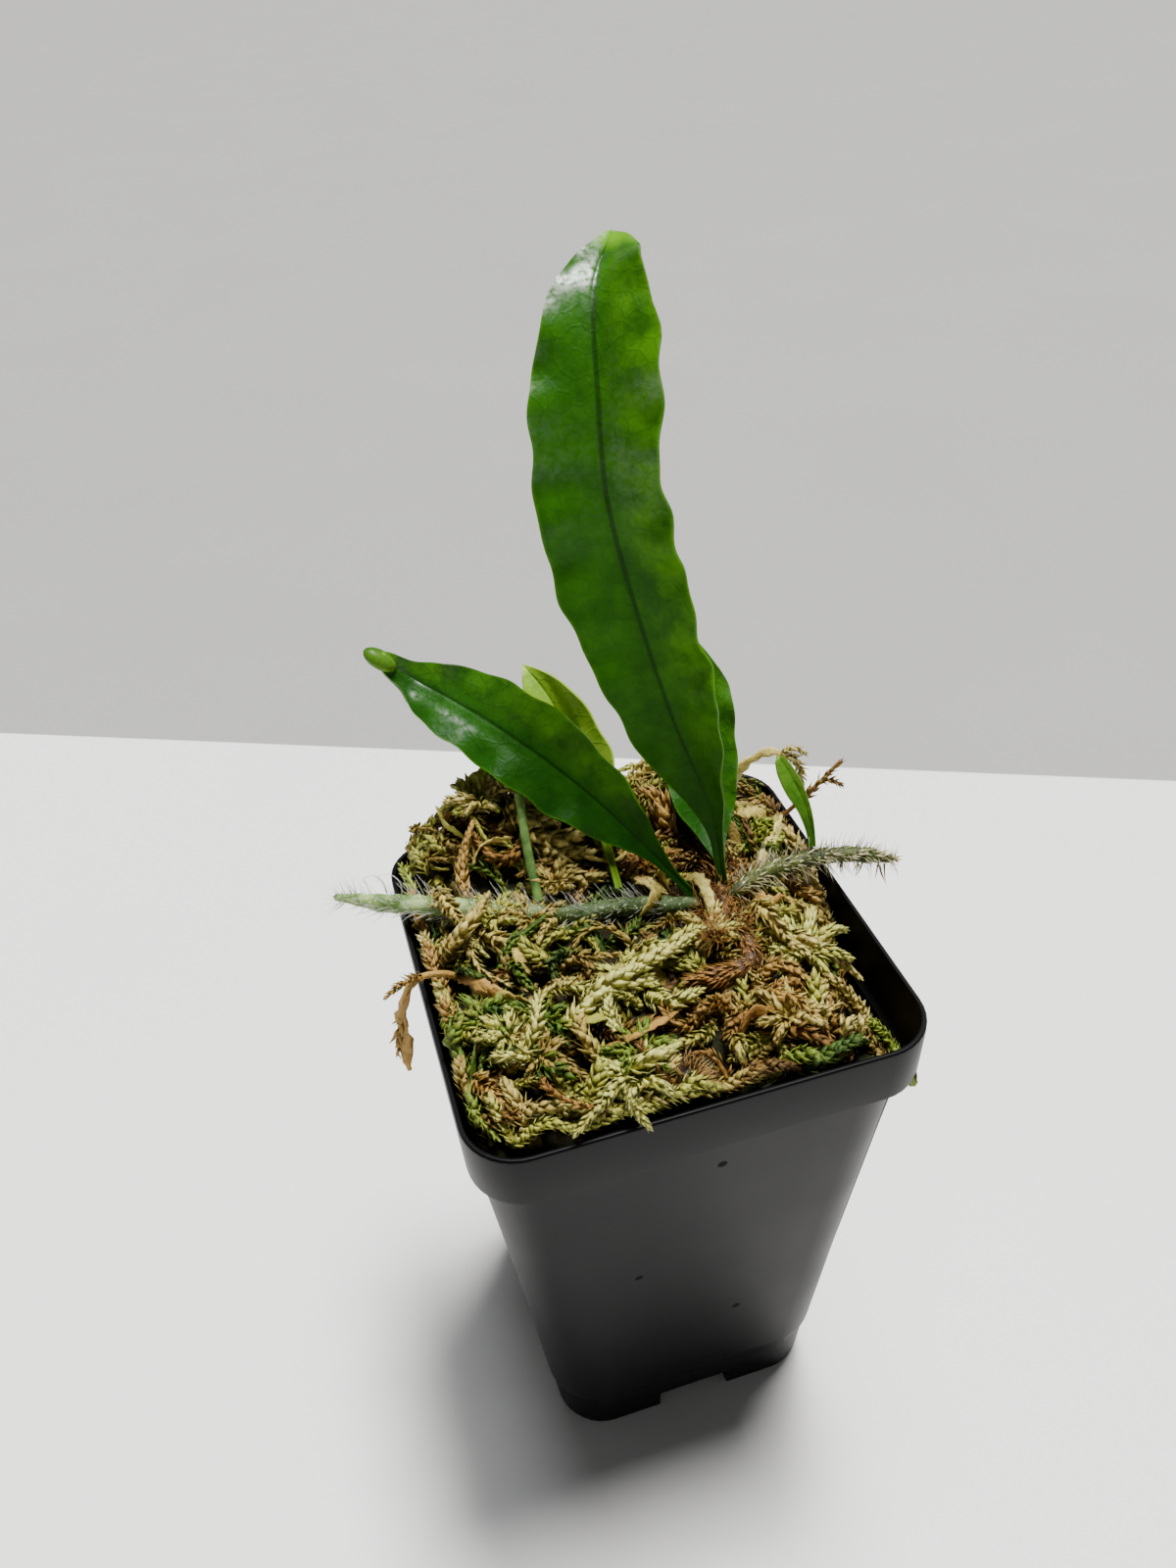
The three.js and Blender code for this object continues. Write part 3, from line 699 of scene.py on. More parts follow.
carpet = {
    "rows": 16, "seed": 4127, "half": 28.4, "reach": (7, 14), "high": (-1.0, 2.9), "curl": 1.8,
    "limits": (29.2, 29.8), "rim": 92.5,      # how far out a shoot may lie below this height and above it
    "sunk": 2.6,                              # how much lower the moss lies under a rhizome
    # each kind of shoot: its share, reach, curl, height of the foot, rise to the two middles, height of
    # the tip (none: as the middle) and size; each of the last two is a range
    "sorts": [
        (0.42, "worm", 1, 1, -1.5, (0, 0.6), (-1, 2), (0.75, 1.15)),
        (0.2, "loose", 0.8, 1, -1.5, (0, 0.8), (0, 2.6), (0.7, 1.1)),
        (0.18, "finger", 0.7, 0.4, -1.5, (0, 0.8), None, (0.7, 1.1)),
        (0.07, "ribbon", 1, 1, -0.8, (0, 0.4), (-0.5, 1.5), (0.6, 1.4)),
        (0.13, "thin", 1.3, 1, -1, (1, 1.2), (-0.5, -0.5), (1.1, 1.1))],
}
# shoots that lie along the sides of the pot: count, reach, curl, rise at the middle and at the end, size
edging = {"count": 46, "reach": (7, 12), "curl": (-0.4, 0.4), "middle": (1.4, 2.8), "end": (0, 1.6),
          "size": (0.7, 0.95), "turn": 0.3, "worms": 0.6}
scattered = {"count": 11, "x": (-24, 20), "y": (-25, 25), "reach": (3.6, 5.4)}       # heads of shoots


def within(draw, low, high):
    # a drawn value; nothing is drawn where there is only one
    return draw.uniform(low, high) if high > low else low


def makeCarpet(draw):
    rows, half = carpet["rows"], carpet["half"]
    for i in range(rows * rows):
        x = half * (2 * ((i % rows) + draw.random()) / rows - 1)
        y = half * (2 * ((i // rows) + draw.random()) / rows - 1)
        heading = draw.uniform(0, 2 * math.pi)
        curl = draw.uniform(-carpet["curl"], carpet["curl"])
        bag = bags[colourAt(x, y, draw)]
        tint, pick = draw.random(), draw.random()
        reach, high = draw.uniform(*carpet["reach"]), draw.uniform(*carpet["high"])
        tint = tint * (0.4 + 0.22 * max(high, 0))         # what lies deep is darker and browner: older moss, and painted shade among the taller shoots
        for share, kind, stretch, bend, foot, middles, ends, sizes in carpet["sorts"]:
            pick -= share
            if pick < 0:
                break
        lifts = [foot] + [high + rise for rise in middles]
        lifts.append(within(draw, *ends) if ends else lifts[-1])
        line = surfaceLine(x, y, heading, reach * stretch, curl * bend, lifts)
        if kind == "thin" and draw.random() < 0.5:        # half of the thin ones are old
            bag = bags["brown"]
        grow(bag, kind, line, draw, tint, within(draw, *sizes))


def makeEdge(draw):
    for i in range(edging["count"]):
        angle = 2 * math.pi * (i + draw.random()) / edging["count"]
        c, d = math.cos(angle), math.sin(angle)
        if c > 0.6 and d < -0.1:         # the right-hand front is a hollow
            continue
        rounding = 0.93 if min(abs(c), abs(d)) > 0.6 else 1         # further in at the pot's corners
        far = carpet["limits"][0] / max(abs(c), abs(d)) * rounding
        alongside = math.pi / 2 if abs(c) > abs(d) else 0
        heading = alongside + draw.uniform(-edging["turn"], edging["turn"])
        bag = bags[colourAt(far * c, far * d, draw)]
        reach, curl, middle, end = (draw.uniform(*edging[key]) for key in ("reach", "curl", "middle", "end"))
        line = surfaceLine(far * c, far * d, heading, reach, curl, (0.4, middle, 2, end))
        kind = "worm" if draw.random() < edging["worms"] else "loose"
        shoot(bag, line, kind, draw, draw.random(), draw.uniform(*edging["size"]))


def makeHeads(draw):
    for i in range(scattered["count"]):
        x, y = draw.uniform(*scattered["x"]), draw.uniform(*scattered["y"])
        bag = bags[colourAt(x, y, draw)]
        head(bag, x, y, draw, draw.random(), draw.uniform(*scattered["reach"]))


def head(bag, x, y, draw, tint, reach, count=6, size=0.9):
    # the top of a shoot: pointed branches that spread from one place
    base = float(mossHeight(x, y)) + 0.6
    for k in range(count):
        angle = 2 * math.pi * (k + draw.uniform(-0.3, 0.3)) / count
        ends = [(x + math.cos(angle) * reach * t, y + math.sin(angle) * reach * t) for t in (0.12, 0.55, 1)]
        lifts = (0, draw.uniform(1.2, 2.2), draw.uniform(0.4, 2.6))
        line = [(px, py, base + lift) for (px, py), lift in zip(ends, lifts)]
        shoot(bag, line, "finger", draw, min(1, tint + draw.uniform(-0.1, 0.1)), size)


# what stands out over the moss: colour, kind, tint, size, rise at its middle; its foot, middle and end
placed = [
    ("pale", "worm", 0.95, 1.25, 3.2, (-10.5, -11), (-7, -13.5), (-3, -13)),
    ("pale", "worm", 0.8, 1.3, 3.8, (-2.5, -5.5), (0, -9.5), (7, -7)),
    ("pale", "worm", 0.85, 1.1, 2.6, (-3, -13), (-1.5, -17.5), (3.5, -16)),
    ("straw", "worm", 0.65, 1.25, 4.6, (-27.5, 3.5), (-25, 1.5), (-19.5, 8.5)),
    ("straw", "worm", 0.7, 1.2, 5.4, (-26, 14.5), (-25, 6), (-23.5, 3)),
    ("straw", "ribbon", 0.5, 1.3, 2.4, (-17, 3), (-18, -3), (-17, -5)),
    ("straw", "worm", 0.6, 1.2, 2.6, (-22, 5.5), (-20, 1), (-16, 0.5)),
    ("brown", "ribbon", 0.7, 1.5, 2.8, (-27, 1), (-24, -6), (-20, -10)),
    ("green", "thin", 0.95, 1.4, 3, (-15.5, -10), (-19, -14.5), (-20, -18.5)),
    ("pale", "thin", 1.0, 1.5, 4, (-20, -18.5), (-22, -20.5), (-25.5, -18.5)),
    ("green", "loose", 0.5, 1.2, 2.6, (-28, -8), (-24, -10), (-20, -10.5)),
    ("green", "worm", 0.7, 0.95, 2.2, (-28.5, -2.5), (-28.5, -11), (-24, -12)),
    ("green", "loose", 0.45, 1.1, 2, (-17.5, -14), (-16, -16.5), (-16, -18.5)),
    ("green", "thin", 0.75, 1.2, 1.9, (-29, -18), (-29, -24), (-27.5, -28)),
    ("green", "loose", 0.4, 1.4, 2, (-20, -19), (-19, -22.5), (-17.5, -23)),
    ("brown", "worm", 0.85, 1.25, 2.6, (-28.5, -18), (-27, -22), (-25, -26)),
    ("brown", "ribbon", 0.75, 0.9, 2.6, (-14, -20.5), (-7, -21.5), (0, -18)),
    ("pale", "finger", 0.85, 1.2, 4, (-10.5, -23), (-7.5, -26), (-2.5, -24.5)),
    ("straw", "finger", 0.5, 1.1, 3.4, (-7.5, -26.5), (-5, -26.5), (-3, -25.5)),
    ("pale", "worm", 0.7, 1.2, 2.8, (-11, -25), (-14, -28), (-12.5, -29)),
    ("straw", "ribbon", 0.45, 1.9, 2.4, (-11, -28), (-9, -28), (-6, -27)),
    ("pale", "finger", 0.85, 1, 2.4, (-19, -25.5), (-17.5, -27), (-16, -28)),
    ("straw", "worm", 0.8, 1.5, 3.4, (17, -2), (17, -7.5), (18, -10.5)),
    ("brown", "ribbon", 0.85, 1.7, 2.4, (18, 3), (18.5, -3.5), (22, -2)),
    ("straw", "ribbon", 0.8, 1.7, 2.4, (26, 6), (27.5, 2), (28.5, 1)),
    ("brown", "loose", 0.8, 1.3, 2.2, (24, 3), (25, -2), (28.5, 0.5)),
    ("brown", "ribbon", 0.85, 1.8, 2.6, (12.5, -16.5), (12.5, -21.5), (15, -20)),
    ("straw", "thin", 0.85, 1.3, 3, (17, -25), (18, -24.5), (20, -23.5)),
    ("straw", "thin", 0.9, 1.3, 3.6, (18.5, -27.5), (19.5, -27), (20.5, -26)),
    ("straw", "thin", 0.8, 1.2, 3.6, (21, -28), (21.5, -27), (23, -25)),
    ("pale", "finger", 0.8, 1, 2.8, (5.5, -23.5), (4.5, -26.5), (4.5, -28)),
    ("green", "worm", 0.95, 0.8, 2, (24, 16), (25.5, 14.5), (28.5, 15.5)),
    ("green", "worm", 0.98, 0.8, 2.2, (24, 14.5), (25, 10.5), (28.5, 13.5)),
    ("green", "worm", 1.0, 0.8, 2, (23.5, 11), (25, 9.5), (27.5, 11.5)),
    ("straw", "ribbon", 0.97, 2.1, 4, (27.5, 18.5), (27.5, 12.5), (21, 5)),
    ("straw", "ribbon", 0.7, 1.6, 1.8, (21.5, 18.5), (24.5, 17.5), (28.5, 18.5)),
    ("brown", "finger", 0.8, 1.6, 5.5, (10, 14.5), (8.5, 16), (7, 17.5)),
    ("straw", "ribbon", 0.6, 2.1, 3, (4.5, 8), (3, 0.5), (0, -1)),
    ("straw", "ribbon", 0.7, 1.9, 3.4, (8.5, 11), (5.5, 5), (6, 3)),
    ("straw", "ribbon", 0.88, 1.3, 4, (7.5, 5), (10, 2), (10, -4)),
    ("straw", "ribbon", 0.85, 1.8, 3.2, (2.5, 9.5), (3, 3.5), (6, 3)),
    ("pale", "ribbon", 0.45, 2.6, 2.4, (-17.5, 23.5), (-16, 24), (-13, 24)),
    ("brown", "ribbon", 0.85, 2, 2, (-23.5, 21.5), (-21.5, 22), (-19, 21.5)),
    ("straw", "ribbon", 0.75, 1.7, 2.6, (-21, 14.5), (-18, 15.5), (-14, 15)),
    ("brown", "ribbon", 0.85, 1.7, 2, (-11.5, 13), (-10.5, 9.5), (-10, 8)),
    ("straw", "worm", 0.75, 1.4, 2.6, (-12, 16.5), (-8.5, 13.5), (-2.5, 15.5)),
    ("straw", "worm", 0.8, 1.3, 2, (-10.5, 14.5), (-7.5, 12), (-3, 12.5)),
    ("straw", "worm", 0.85, 1.4, 2.4, (-12.5, 19.5), (-11, 17), (-7.5, 16.5)),
    ("straw", "worm", 0.7, 1.4, 2.2, (-8, 11.5), (-6, 8.5), (-2.5, 8)),
]
# heads of pointed branches: colour, tint, reach, branches, place
heads = [
    ("pale", 0.8, 7.2, 8, (20.5, -11.5)), ("pale", 0.85, 5.4, 6, (-9, -26)), ("straw", 0.8, 5, 6, (-17, 22)),
    ("green", 0.6, 5, 6, (-24, -11)), ("straw", 0.6, 5, 6, (13, -23)), ("pale", 0.7, 4.6, 6, (-5, -11)),
]


seeds = {"placed": 2203, "single": 977}


def makePlaced():
    draw = random.Random(seeds["placed"])
    for colour, kind, tint, size, rise, *ends in placed:
        lifts = (0.2, rise, 0.5 * rise if kind == "ribbon" else 0.8 * rise)
        line = [(x, y, float(mossHeight(x, y)) + lift) for (x, y), lift in zip(ends, lifts)]
        grow(bags[colour], kind, line, draw, tint, size * 0.8 if kind == "ribbon" else size)
    for colour, tint, reach, count, (x, y) in heads:
        head(bags[colour], x, y, draw, tint, reach, count, 1.0)


carpetDraw = random.Random(carpet["seed"])
for make in (makeCarpet, makeEdge, makeHeads):
    make(carpetDraw)
makePlaced()
print("moss carpet gathered", {colour: bag.count for colour, bag in bags.items()})

mossColours = {
    # stops of the tint, from dark and old to pale and fresh
    "straw": [(0, (0.12, 0.06, 0.011)), (0.35, (0.36, 0.27, 0.05)), (0.7, (0.6, 0.5, 0.135)),
              (1, (0.8, 0.72, 0.28))],
    "pale": [(0, (0.2, 0.21, 0.018)), (0.5, (0.44, 0.46, 0.065)), (1, (0.76, 0.77, 0.24))],
    "green": [(0, (0.012, 0.045, 0.003)), (0.5, (0.075, 0.16, 0.007)), (1, (0.42, 0.5, 0.05))],
    "brown": [(0, (0.05, 0.02, 0.003)), (0.5, (0.28, 0.135, 0.02)), (1, (0.56, 0.37, 0.09))],
}


def mossFinish(colour):
    moss = Finish("sphagnum " + colour, {
        "Specular IOR Level": 0.35, "Subsurface Weight": 0.12, "Subsurface Radius": (1, 0.8, 0.35),
        "Subsurface Scale": 0.8 * mm})
    tint, tip = moss.attribute("tint"), moss.attribute("tip")
    spot = moss.spot()
    patch = moss.noise(spot, 5, 3)
    fine = moss.noise(spot, 0.45, 3)
    lumps = moss.noise(spot, 1.3, 4, 0.6)
    base = moss.ramp(tint * 0.75 + patch * 0.35 - 0.08, mossColours[colour])
    # painted shade: the foot of each leaf and the lower part of each stem are darker, where the leaves
    # overlap
    dark = moss.mix(1.0, base, (0.55, 0.47, 0.33), "MULTIPLY")
    stain = moss.step(moss.noise(spot, 7, 4, 0.6), 0.54, 0.7) * 0.6
    base = moss.mix(stain, base, (0.33, 0.18, 0.03))
    clear_of_painted_shade = moss.step(tip, 0.0, 0.75) * (0.45 + 0.55 * moss.step(lumps, 0.35, 0.6))
    leaf = moss.mix(clear_of_painted_shade, dark, base)
    light = moss.mix(moss.step(fine, 0.45, 0.8) * 0.25, leaf, (0.8, 0.78, 0.5), "SOFT_LIGHT")
    moss.give(Base_Color=light, Roughness=0.5 + 0.3 * fine,
              Normal=moss.bump(fine * 0.3 + lumps, 0.6, 0.8))
    return moss


mossSlots = {colour: "sphagnum_" + colour for colour in bags}
mossSlots["straw"] = "sphagnum"
mossFinishes = {colour: mossFinish(colour) for colour in bags}
for colour, bag in bags.items():
    fit(bag.piece("moss_carpet_" + colour), mossFinishes[colour], mossSlots[colour])
print("moss carpet made")

# single shoots that stand out: colour, tint, and the lines of each, with kind, size and points
singles = {
    "moss_arch": ("straw", 0.85, [
        ("ribbon", 0.95, [(19.6, 19.6, 90.6), (21.7, 19.2, 97), (22.7, 19, 100), (24.6, 19, 102.6),
                          (27.8, 19, 103.8), (31, 18.8, 102.4)]),
        ("loose", 0.75, [(29.6, 18.9, 103), (32.2, 18.6, 101.6), (33.4, 18.2, 98.8), (33.6, 17.6, 95)]),
        ("loose", 0.6, [(30, 18.9, 103), (32.4, 18.4, 103.6), (33.8, 18, 102.6)])]),
    "moss_red_stem": ("brown", 0.3, [
        ("stem", 0.8, [(25.6, 16, 90), (29.4, 15, 94), (33.4, 14, 98.6), (38, 14, 103)]),
        ("thin", 1.2, [(31.4, 14.4, 96.4), (33.4, 14, 98.6), (36, 14, 101), (38, 13.8, 103)]),
        ("loose", 0.5, [(35, 14, 100), (36.4, 13.4, 100), (38, 13, 98.8)])]),
    "moss_hanging": ("brown", 0.85, [
        ("stem", 1.1, [(-24.4, -1.4, 92), (-28.6, -1.6, 95.4), (-32.6, -1.6, 95.4), (-34.8, -1.8, 91)]),
        ("ribbon", 1.15, [(-32.2, -1.6, 95.6), (-34.6, -1.8, 91.6), (-35.2, -2, 86), (-35.6, -2.2, 78.6)]),
        ("thin", 1.2, [(-34.6, -1.8, 90), (-36, -2, 86), (-36.6, -2, 82)]),
        ("loose", 0.6, [(-31, -1.6, 95.8), (-34.4, -3, 96.6), (-36.6, -3.4, 95.4)])]),
    "moss_pale_middle": ("pale", 0.95, [
        ("worm", 1.15, [(-16, -16.4, 93), (-11, -14.6, 97.4), (-3.6, -12, 98.4), (3, -9.6, 97.6),
                        (6.6, -7, 96.4)]),
        ("worm", 0.8, [(-9, -20, 93.6), (-9.4, -16, 97.4), (-7.6, -12.4, 98.4)])]),
    "moss_pale_front": ("pale", 0.8, [
        ("loose", 0.9, [(-25.4, -17, 93.4), (-21.6, -19.6, 96.4), (-19.4, -17.4, 97.4), (-17.4, -12, 97),
                        (-12.4, -9.6, 96.4)]),
        ("loose", 0.8, [(-15.4, -10.4, 96.6), (-11, -12.6, 97), (-10.2, -18, 96)])]),
    "moss_front_rim": ("pale", 0.75, [
        ("worm", 1.0, [(-6.8, -20.6, 92), (-9.2, -24.8, 94.4), (-13.6, -28.4, 94.8), (-18.6, -31.4, 93.8)]),
        ("worm", 0.8, [(-10.8, -26.6, 94.6), (-10.6, -31, 94.6), (-9.8, -33.2, 93.4)])]),
    "moss_green_left": ("green", 0.6, [
        ("worm", 0.95, [(-30.4, -13, 94), (-27.6, -10.6, 95), (-23, -9, 95), (-18.4, -8.6, 93)]),
        ("worm", 0.7, [(-26, -10, 95.2), (-25.4, -14, 94.4), (-27, -17, 92.6)])]),
    "moss_straw_right": ("straw", 0.7, [
        ("worm", 1.1, [(12.6, -17, 90), (15.4, -21, 93.6), (17.4, -22.6, 94), (19.4, -19.4, 93.6),
                       (20.4, -17, 91.6)])]),
    "moss_fingers": ("straw", 0.85, [
        ("finger", 1.1, [(15, -7, 90.6), (19.6, -9.8, 93.6), (23.4, -14.6, 93.4), (26, -18.4, 91.4)]),
        ("finger", 0.9, [(17, -8.4, 92.6), (20, -13.6, 93.8), (20.6, -16.4, 93)])]),
}


def makeSingles():
    draw = random.Random(seeds["single"])
    for node, (colour, tint, lines) in singles.items():
        bag = Bag()
        for kind, size, line in lines:
            grow(bag, kind, line, draw, tint, size)
        slot = "sphagnum_pale" if node == "moss_arch" else mossSlots[colour]     # as in the record
        fit(bag.piece("shoot_" + node), mossFinishes[colour], slot, node)


makeSingles()
print("single shoots made")


# rhizomes

rhizomes = {
    # stem: its finish, dark and light colour, flecks and how much darker it is towards the crown
    # scales and hairs: how many, where along the stem, and which way they lean; coat: piece and finish
    "rhizome_left": {
        "line": [(-40.6, 18.2, 96.2), (-34.5, 15, 95.9), (-28.4, 12.4, 95.7), (-21.8, 9.4, 95.6),
                 (-14, 5.8, 95.4), (-7.4, 3.4, 95.3), (-1, 2.6, 95.2), (6.4, 0.4, 95), (12.4, -0.8, 94.9)],
        "curls": [[(-33, 15.4, 97), (-33.4, 15.2, 99.6), (-34.6, 15, 101.2), (-36, 15, 100.8),
                   (-35.6, 15, 99.8)],
                  [(-31, 14, 97), (-31, 13.8, 99.8), (-32.2, 13.6, 101.8), (-33.6, 13.6, 102),
                   (-34, 13.6, 101)]],
        "radius": 1.35, "slot": "rhizome_green", "seed": 311,
        "stem": ("sage green stem", (0.08, 0.16, 0.03), (0.34, 0.46, 0.17), (0.56, 0.62, 0.36), 0.85),
        "hairs": {"count": 430, "part": (0, 0.86), "rise": 0.45, "ahead": 0.55, "wild": 0.25,
                  "droop": (0.25, 0.2, 0.1), "long": (1.8, 3.6), "shorter": 0.25, "thick": 0.06,
                  "tint": (0, 0.8)},
        "coat": ("hairs_left", "silvery hair", (0.55, 0.55, 0.46), (0.85, 0.84, 0.78))},
    "rhizome_right": {
        "line": [(38.6, -3, 96.6), (34.2, -0.4, 96.8), (28.8, 1.2, 96.8), (24, 1.2, 96.8), (19, 1, 96.5),
                 (15.8, -0.2, 96), (12.8, -0.8, 95.2)],
        "radius": 1.15, "slot": "rhizome_olive", "seed": 577,
        "stem": ("olive stem", (0.02, 0.034, 0.003), (0.07, 0.095, 0.012), (0.24, 0.23, 0.07)),
        "scales": {"count": 170, "part": (0, 0.9), "out": 0.55, "ahead": 0.8, "wild": 0.2,
                   "wide": (0.35, 0.6), "deep": 0.2, "long": (1, 2.2), "tint": (0.2, 1)},
        "hairs": {"count": 420, "part": (0, 0.95), "rise": 0, "ahead": 0.35, "wild": 0.3,
                  "droop": (0, 0.3, 0), "long": (1.2, 3.4), "shorter": 0, "thick": 0.06,
                  "tint": (0, 0.7)},
        "coat": ("hairs_right", "straw hair", (0.3, 0.26, 0.1), (0.78, 0.72, 0.44))},
    "rhizome_old": {
        "line": [(3, -13.6, 94.6), (8.6, -13.8, 94.3), (12.2, -12.4, 94.2), (12.6, -8.8, 94.4),
                 (11.8, -4.4, 94.4), (12.6, -0.8, 94.9), (14.4, 4.6, 95.6)],
        "radius": 1.45, "slot": "rhizome_brown", "seed": 733,
        "stem": ("copper stem", (0.03, 0.012, 0.002), (0.12, 0.05, 0.01), (0.34, 0.19, 0.04)),
        "scales": {"count": 560, "part": (0, 0.85), "out": 0.42, "ahead": 0.9, "wild": 0.15,
                   "wide": (0.4, 0.7), "deep": 0.25, "long": (1.2, 2.6), "tint": (0, 0.6)},
        "coat": ("hairs_crown", "copper hair", (0.1, 0.03, 0.004), (0.5, 0.25, 0.05))},
    "rhizome_end": {
        "line": [(-2.6, -28.6, 93), (-2.8, -26, 92), (-3.2, -23.5, 90.8)],
        "radius": 1.5, "slot": "rhizome_brown", "seed": 1193,
        "stem": ("black cut end", (0.012, 0.009, 0.007), (0.05, 0.03, 0.015), (0.12, 0.07, 0.03)),
        "hairs": {"count": 260, "part": (0.02, 0.6), "upward": 0.7, "rise": 0.1, "ahead": 0.25,
                  "wild": 0.25, "droop": (0, 0.2, 0), "long": (1.6, 3.2), "shorter": 0, "thick": 0.075,
                  "tint": (0, 1)},
        "coat": ("bristles_end", "brown bristle", (0.14, 0.06, 0.012), (0.52, 0.32, 0.1))},
}
crown = {
    # coppery hair where the stalks and the young rhizomes start: centre, spread and count of each tuft
    "tufts": [((13.2, 1.2, 95.6), 3.0, 150), ((10.6, -2.2, 94.8), 3.2, 150), ((12.2, -6.6, 95.2), 2.8, 130),
              ((8.4, -8.4, 96.2), 1.4, 130), ((15.6, 6.2, 95.0), 3.0, 90), ((6.4, 3.4, 95.2), 2.4, 40)],
    "long": (1.2, 3.2), "thick": 0.085, "tint": (0.2, 1),
    # short red-brown rootlets under the right rhizome: where they start, and which way they point
    "rootlets": [(37, -2, 95.6), (34.4, -0.6, 95.8), (31.8, 0.4, 95.8), (27, 1, 95.6), (24.6, 1, 95.6)],
    "each": 4, "down": (-0.15, -0.35, -0.9), "rootlet": (1.8, 3.4), "stout": 0.16,
}
scaleShape = masterShape(3, [(0.3, 1.0, 0.4, 0.05)], -0.05)


def tipped(radius):
    return lambda u: radius * np.minimum(np.minimum(1, 0.35 + u * 5), 0.5 + (1 - u) * 4)


def makeStem(node, path, profile):
    def radius(angle, v):
        knots = 0.06 * np.sin(v * path.length * 2.1) + 0.04 * np.sin(3 * angle + v * 40)
        return profile(v) * (1 + knots) * np.where((v < 0.001) | (v > 0.999), 0.15, 1)
    return roundStem("stem_" + node, path, 16, int(path.length * 2.5), radius)


def rowOf(draw, low, high, count):
    return np.array([draw.uniform(low, high) for _ in range(count)])


def onSkin(path, profile, draw, count, low, high):
    # seeded places on a stem: how far along, the place, outwards, and on towards the growing tip
    u = rowOf(draw, low, high, count)
    angle = rowOf(draw, 0, 2 * math.pi, count)
    forward, out, side = path.frame(u)
    away = np.cos(angle)[:, None] * out + np.sin(angle)[:, None] * side
    return u, path.at(u) + away * (profile(u) * 0.9)[:, None], away, -forward


def wild(draw, count):
    return unit(np.array([[draw.gauss(0, 1) for _ in range(3)] for _ in range(count)]))


def stemFinish(name, low, high, fleck, dark=0.0):
    stem = Finish(name, {"Specular IOR Level": 0.35})
    spot = stem.spot()
    cloud = stem.noise(spot, 2.4, 4)
    fine = stem.noise(spot, 0.5, 3)
    base = stem.mix(stem.step(cloud, 0.35, 0.7), low, high)
    if dark:
        inward = stem.step(stem.node("ShaderNodeSeparateXYZ", None, {0: spot}), -21 * mm, -9 * mm)
        base = stem.mix(inward * dark, base, tuple(0.35 * c for c in low))
    stem.give(Base_Color=stem.mix(stem.step(fine, 0.55, 0.75), base, fleck),
              Roughness=0.5 + 0.25 * fine, Normal=stem.bump(fine, 0.15, 0.8))
    return stem


def hairFinish(name, foot, tip):
    hair = Finish(name, {"Roughness": 0.45, "Specular IOR Level": 0.5})
    tint, out = hair.attribute("tint"), hair.attribute("tip")
    shade = hair.mix(hair.step(out, 0.0, 0.9), foot, tip)
    hair.give(Base_Color=hair.mix(tint * 0.5, shade, tuple(0.35 * c for c in foot)))
    return hair


def addScales(bag, path, profile, draw, own):
    count = own["count"]
    roots, out, ahead = onSkin(path, profile, draw, count, *own["part"])[1:]
    direction = unit(own["out"] * out + own["ahead"] * ahead + own["wild"] * wild(draw, count))
    back = unit(out - direction * np.sum(out * direction, axis=1, keepdims=True))
    wide, long, tint = (rowOf(draw, *own[key], count) for key in ("wide", "long", "tint"))
    sow(bag, scaleShape, roots - 0.2 * out, direction, back, wide, own["deep"], long, tint)


def addHairs(bag, path, profile, draw, own):
    count = own["count"]
    u, roots, out, ahead = onSkin(path, profile, draw, count, *own["part"])
    if "upward" in own:
        out[:, 2] = own["upward"] * abs(out[:, 2])
    out[:, 2] += own["rise"]
    direction = unit(out + own["ahead"] * ahead + own["wild"] * wild(draw, count))
    onward, loose, up = own["droop"]
    droop = onward * ahead + loose * wild(draw, count) + np.array([0, 0, up])
    length = rowOf(draw, *own["long"], count) * (1 - own["shorter"] * u)
    hairs(bag, roots, direction, droop, length, own["thick"], rowOf(draw, *own["tint"], count))


def addCrown(bag, draw):
    for centre, spread, count in crown["tufts"]:
        away = wild(draw, count)
        away[:, 2] = abs(away[:, 2])
        size = np.array([spread, spread, spread * 0.35]) * rowOf(draw, 0.3, 1, count)[:, None]
        direction = unit(away + 0.8 * wild(draw, count) + np.array([0, 0, 0.35]))
        droop = 0.5 * wild(draw, count)
        length, tint = (rowOf(draw, *crown[key], count) for key in ("long", "tint"))
        hairs(bag, np.array(centre) + away * size, direction, droop, length, crown["thick"], tint)
    roots = np.repeat(np.array(crown["rootlets"]), crown["each"], axis=0)
    count = len(roots)
    roots = roots + 0.5 * wild(draw, count) * np.array([1, 1, 0])
    direction = unit(np.array(crown["down"]) + 0.25 * wild(draw, count))
    droop = 0.3 * wild(draw, count)
    hairs(bag, roots, direction, droop, rowOf(draw, *crown["rootlet"], count), crown["stout"], 0.4)


def makeRhizome(node, own):
    path, profile = Path(own["line"]), tipped(own["radius"])
    fit(makeStem(node, path, profile), stemFinish(*own["stem"]), own["slot"], node)
    draw, bag = random.Random(own["seed"]), Bag()
    for key, add in (("scales", addScales), ("hairs", addHairs)):
        if key in own:
            add(bag, path, profile, draw, own[key])
    for line in own.get("curls", []):         # long curled hairs
        tube(bag, Path(line, 60), 20, 4, lambda t: 0.1 * (1 - 0.5 * t), 0.2)
    if node == "rhizome_old":
        addCrown(bag, draw)
    name, *shades = own["coat"]
    fit(bag.piece(name), hairFinish(*shades), own["slot"])


for node, own in rhizomes.items():
    makeRhizome(node, own)
print("rhizomes made")


# fronds

